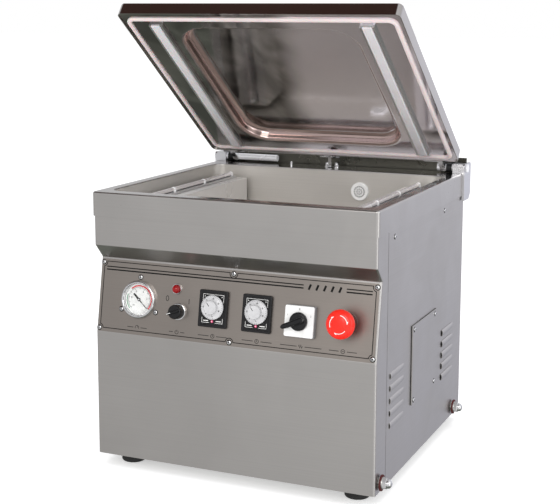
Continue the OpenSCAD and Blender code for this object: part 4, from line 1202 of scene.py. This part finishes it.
def bolts():
    """The low side bolts with their spacers, and the two studs beside the spring lever."""
    low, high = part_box("side_washers")
    z, reach = (low.z + high.z) / 2, (high.z - low.z) / 2
    parts = []
    for side, y in ((1, low.y + reach), (1, high.y - reach), (-1, high.y - reach)):
        stack = [rod("bolt", 4 * MM, (0, 0, -9.5 * MM), (0, 0, 6 * MM), "zinc"),
                 place(dome_nut(15.5, 3, 0.4, "zinc"), Matrix.Rotation(0.35, 4, "Z")),
                 lathe("plain_washer", [(3.9, 5.5), (9.4, 5.5), (9.5, 6.2), (9.2, 7), (3.9, 7), (3.9, 5.5)],
                       "zinc", 40),
                 place(dome_nut(15.5, 6, 7.6), move(0, 0, 7 * MM))]
        parts.append(place(join("stack", stack), move(side * HALF, y, z) @ spin(90 * side, "Y")))
    lever_x, stud_y, apart = middle("spring_lever").x, FRONT + 444 * MM, 9 * MM
    for x in (lever_x - apart, lever_x + apart):
        stud = [rod("stud", 2.5 * MM, (0, 0, -10 * MM), (0, 0, 1.5 * MM), "zinc"),
                lathe("washer", [(2.4, 0), (5, 0), (5, 0.9), (2.4, 1), (2.4, 0)], "chrome", 32),
                place(dome_nut(7, 3.4, 3.9), move(0, 0, 1 * MM))]
        parts.append(place(join("stud", stud), move(x, stud_y, DECK)))
    piece(join("cap_nut_bolts", parts), "base", ["dome_nut_bolts"])


def transformer():
    """A laminated core between two taped windings."""
    low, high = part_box("transformer")
    x, half = (low.x + high.x) / 2, 50 * MM
    y0, y1 = low.y + 22 * MM, high.y - 22 * MM
    sheets = 16
    pitch = (y1 - y0) / sheets
    starts = [y0 + (y1 - y0) * i / sheets for i in range(sheets)]
    parts = [box_mesh("sheet", (x - half, y, low.z), (x + half, y + pitch * 0.86, high.z), "rotor")
             for y in starts]
    for a, b in ((low.y, y0), (y1, high.y)):
        coil = box_mesh("coil", (x - 32 * MM, a, low.z + 18 * MM), (x + 32 * MM, b, low.z + 72 * MM), "coil")
        bevel(coil, 8 * MM, 5)
        apply_modifiers(coil)
        parts.append(coil)
    piece(join("heating_transformer", parts), "base", ["transformer"])


# ---------- lid ----------
RECESS = (Vector((-150 * MM, FRONT + 40 * MM, 0)), Vector((150 * MM, FRONT + 380 * MM, 0)))
RECESS_R = 46 * MM


def closed_box(node):
    """A lid node's box with the lid swung shut."""
    back = LID_PLACE.inverted()
    points = [back @ v.co for v in frame["nodes"][node].data.vertices]
    return tuple(Vector([pick(p[i] for p in points) for i in range(3)]) for pick in (min, max))


def recess_loop(grow, z):
    """A loop round the pressed recess, grown outwards."""
    return round_loop(*grown(RECESS, grow), RECESS_R + grow, z, 8, 9)


def shrunk(loop, z, factors):
    """Copies of a loop, shrunk towards the middle of the recess."""
    centre = Vector((0, (RECESS[0].y + RECESS[1].y) / 2, z))
    return [[centre + (p - centre) * factor for p in loop] for factor in factors]


def ripple(obj, height, scale, seed):
    """Moves the points up and down a little, as thin polished sheet does."""
    for v in obj.data.vertices:
        v.co.z += height * noise.noise(Vector((v.co.x * scale, v.co.y * scale, seed)))
    obj.data.update()


def lid():
    """The outer cover with its raised field, and the inner plate with the recess pressed in it."""
    cover = closed_box("lid_shell")
    low, high = cover
    liner_low, liner_high = closed_box("lid_liner")
    dome, edge = 8 * MM, 3 * MM
    top = high.z - dome

    def rim(inset, z, radius=9 * MM):
        return round_loop(*grown(cover, -inset), max(1.5 * MM, radius - inset), z, 8, 9)

    rows = [rim(0, low.z), rim(0, low.z + 4 * MM)]
    for i in range(7):
        a = radians(15 * i)
        rows.append(rim(edge * (1 - cos(a)), top - edge * (1 - sin(a))))
    rows.append(rim(12 * MM, top))
    for grow, rise in ((22, 0.0), (17, 0.06), (14, 0.25), (12, 0.5), (10, 0.75), (7, 0.94), (2, 1.0)):
        rows.append(recess_loop(grow * MM, top + rise * dome))
    rows += shrunk(rows[-1], high.z, (0.8, 0.55, 0.3, 0.1))
    shell = skin("lid_cover", rows, "lid", caps=(False, True), smooth=50.0)
    thicken(shell, SHEET)
    apply_modifiers(shell, 50.0)
    piece(place(shell, LID_PLACE), "lid", ["lid_shell"])

    plate, ceiling = liner_low.z, liner_high.z - SHEET
    soft, hard, inset = 12 * MM, 8 * MM, 0.5 * MM
    rows = [rim(SHEET, plate, 7.5 * MM), rim(26 * MM, plate, 34 * MM)]
    for i in range(7):
        a = radians(15 * i)
        rows.append(recess_loop(hard * (1 - sin(a)) - inset, plate + hard * (1 - cos(a)) * 0.75))
    for i in range(1, 9):
        a = radians(90 * i / 8)
        rows.append(recess_loop(-soft * (1 - cos(a)) - inset, ceiling - soft * (1 - sin(a))))
    rows += shrunk(rows[-1], ceiling, (0.93, 0.86, 0.78, 0.7, 0.6, 0.5, 0.4, 0.3, 0.2, 0.1, 0.04))
    inside = skin("lid_inner_plate", rows, "liner", caps=(False, True), smooth=70.0)
    ripple(inside, 0.45 * MM, 9.0, 3.0)
    if inside.data.polygons[-1].normal.z > 0:
        inside.data.flip_normals()
    thicken(inside, SHEET)
    apply_modifiers(inside, 70.0)
    # Painted reflection: the recess walls get the brown-tinted steel.
    inside.data.materials.append(M["liner_wall"])
    for face in inside.data.polygons:
        if abs(face.normal.z) < 0.9 and plate + 1 * MM < face.center.z < ceiling - 1 * MM:
            face.material_index = 1
    piece(place(inside, LID_PLACE), "lid", ["lid_liner"])


def gasket():
    """The soft seal that the lid closes on, round the edge of the inner plate."""
    low, high = closed_box("lid_gasket")
    width, corner, steps = 8 * MM, 16 * MM, 12
    rows = []
    for i in range(steps + 1):
        a = pi * i / steps
        inset = width / 2 * (1 - cos(a))
        z = high.z - (high.z - low.z) * max(0.0, sin(a)) ** 0.7
        rows.append(round_loop(*grown((low, high), -inset), corner - inset, z, 8, 24))
    rows.append([p.copy() for p in rows[0]])
    made = skin("lid_seal", rows, "gasket", smooth=60.0)
    piece(place(made, LID_PLACE), "lid", ["lid_gasket"])


def strips():
    """Two silicone bars in their holders, which the heater rods press against."""
    low, high = closed_box("silicone_strips")
    width = 16 * MM
    made = []
    for x in (low.x, high.x - width):
        bar = box_mesh("bar", (x, low.y, low.z), (x + width, high.y, high.z), "strip")
        bevel(bar, 1.7 * MM, 4)
        apply_modifiers(bar)
        made.append(bar)
    piece(place(join("seal_strips", made), LID_PLACE), "lid", ["silicone_strips"])


# ---------- building ----------
front_casing()
deck()
side_panel("right_side", "right_panel", 1)
side_panel("left_side", "left_panel", -1)
control_plate_print()
screws()
gauge()
pilot_lamp()
power_switch()
timer("vacuum_time", "vacuum_timer", "vacuum_timer_dial")
timer("sealing_time", "sealing_timer", "sealing_timer_dial")
selector()
emergency_stop()
chamber()
heater("left", "left_heater", "left_seal_bar")
heater("right", "right_heater", "right_seal_bar")
strainer()
feet()
bolts()
transformer()
lid()
gasket()
strips()

KEPT = {
    "rear_panel": ("side", 0.4), "access_cover": ("side", 0.6), "cover_seal": ("rubber", 0.3),
    "base_plate": ("side", 0.3), "control_plate": ("plate", 0.3), "left_bar_housing": ("housing", 1.0),
    "right_bar_housing": ("housing", 1.0), "bar_cylinders": ("aluminium", 1.2),
    "left_seal_bar": ("aluminium", 0.6), "right_seal_bar": ("aluminium", 0.6),
    "lid_switch": ("black", 0.5), "switch_plunger": ("chrome", 0.3),
    "hinge_brackets": ("bracket", 0.9), "rear_guard": ("guard", 0.5), "side_washers": ("fibre", 0.4),
    "cable_gland": ("black", 0.6), "vacuum_pump": ("pump", 2.5), "pump_motor": ("motor", 1.5),
    "motor_rotor": ("rotor", 0.6), "pump_mounts": ("rubber", 1.2), "vacuum_hose": ("hose", 0.6),
    "valve_block": ("brass", 0.8), "strip_holders": ("aluminium", 0.4), "hinge_shafts": ("shaft", 0.6),
    "shaft_collars": ("black", 0.7), "lid_arms": ("chrome", 1.2), "spring_lever": ("chrome", 0.8),
}
for node, (material, width) in KEPT.items():
    soften(node, material, width)


# ---------- stage ----------
def floor():
    material = bpy.data.materials.new("floor_pale")
    material.use_nodes = True
    inputs = material.node_tree.nodes["Principled BSDF"].inputs
    inputs["Base Color"].default_value = (0.8, 0.8, 0.8, 1)
    inputs["Roughness"].default_value = 0.8
    inputs["Specular IOR Level"].default_value = 0.0
    inputs["Emission Color"].default_value = (1, 1, 1, 1)
    inputs["Emission Strength"].default_value = 0.45
    bpy.ops.mesh.primitive_plane_add(size=60, location=(0, 0, 0))
    plane = bpy.context.object
    plane.name = "floor"
    plane.data.materials.append(material)
    plane.visible_glossy = False


def studio():
    """White for the eye and for soft light; in polished metal, the tones of a studio round the machine."""
    world = bpy.data.worlds.new("studio")
    bpy.context.scene.world = world
    world.use_nodes = True
    n = Nodes(world.node_tree)
    n.tree.nodes.clear()
    outward = n.node("TexCoord").outputs["Generated"]
    split = n.node("SeparateXYZ")
    n.link(outward, split.inputs[0])
    tone = n.ramp(n.spread(split.outputs["Z"], (-1, 1)),
                  (0.0, (0.155, 0.170, 0.148)), (0.12, (0.205, 0.22, 0.195)), (0.30, (0.47, 0.46, 0.45)),
                  (0.45, (0.56, 0.56, 0.56)), (0.60, (0.62, 0.62, 0.63)), (1.0, (0.75, 0.75, 0.76)))
    # Each lobe is a direction, the cosines where it starts and is full, and a colour
    lobes = (((0.16, -0.95, -0.25), (0.74, 0.99), (0.74, 0.74, 0.74)),
             ((-0.46, -0.33, 0.82), (0.74, 0.90), (0.055, 0.03, 0.025)),
             ((0.91, -0.39, -0.1), (0.86, 0.97), (1.5, 1.5, 1.5)),
             ((0.39, 0.91, -0.1), (0.70, 0.90), (0.51, 0.515, 0.575)),
             ((0.39, 0.91, 0.3), (0.78, 0.96), (0.80, 0.805, 0.87)))
    for direction, edge, colour in lobes:
        dot = n.node("VectorMath", operation="DOT_PRODUCT")
        n.link(outward, dot.inputs[0])
        dot.inputs[1].default_value = Vector(direction).normalized()
        tone = n.mix(tone, colour, n.spread(dot.outputs["Value"], edge, kind="SMOOTHSTEP"))
    tone = n.mix((0.92, 0.92, 0.93), tone, n.node("LightPath").outputs["Is Glossy Ray"])
    tone = n.mix(tone, (1.0, 1.0, 1.0), n.node("LightPath").outputs["Is Camera Ray"])
    background = n.node("Background")
    n.link(tone, background.inputs["Color"])
    n.link(background.outputs[0], n.node("OutputWorld").inputs["Surface"])


def area_light(name, place_at, aim, size, power, colour=(1, 1, 1), mirrored=True):
    light = bpy.data.lights.new(name, "AREA")
    light.shape = "RECTANGLE"
    light.size, light.size_y = size
    light.energy = power
    light.color = colour
    lamp = bpy.data.objects.new(name, light)
    lamp.location = place_at
    lamp.visible_glossy = mirrored
    lamp.rotation_euler = (Vector(aim) - Vector(place_at)).to_track_quat("-Z", "Y").to_euler()
    bpy.context.scene.collection.objects.link(lamp)


def camera():
    data = bpy.data.cameras.new("camera")
    data.lens = 79.7
    data.sensor_width = 36
    data.shift_y = -0.093
    data.dof.use_dof = False
    holder = bpy.data.objects.new("camera", data)
    holder.location = (0.805, -1.895, 0.735)
    holder.rotation_euler = [radians(a) for a in (81.3, -0.13, 23.43)]
    bpy.context.scene.collection.objects.link(holder)
    bpy.context.scene.camera = holder


floor()
studio()
area_light("key", (0.35, -2.7, 1.55), (0, 0, 0.33), (1.6, 1.2), 26, (1.0, 0.985, 0.96))
area_light("side_fill", (2.4, -0.6, 1.4), (0.1, 0, 0.3), (1.2, 1.6), 14, (0.93, 0.96, 1.0))
area_light("top_back", (0, 0.9, 2.4), (0, 0, 0.5), (1.8, 1.0), 12, mirrored=False)
camera()
bpy.context.scene.view_settings.view_transform = "Standard"
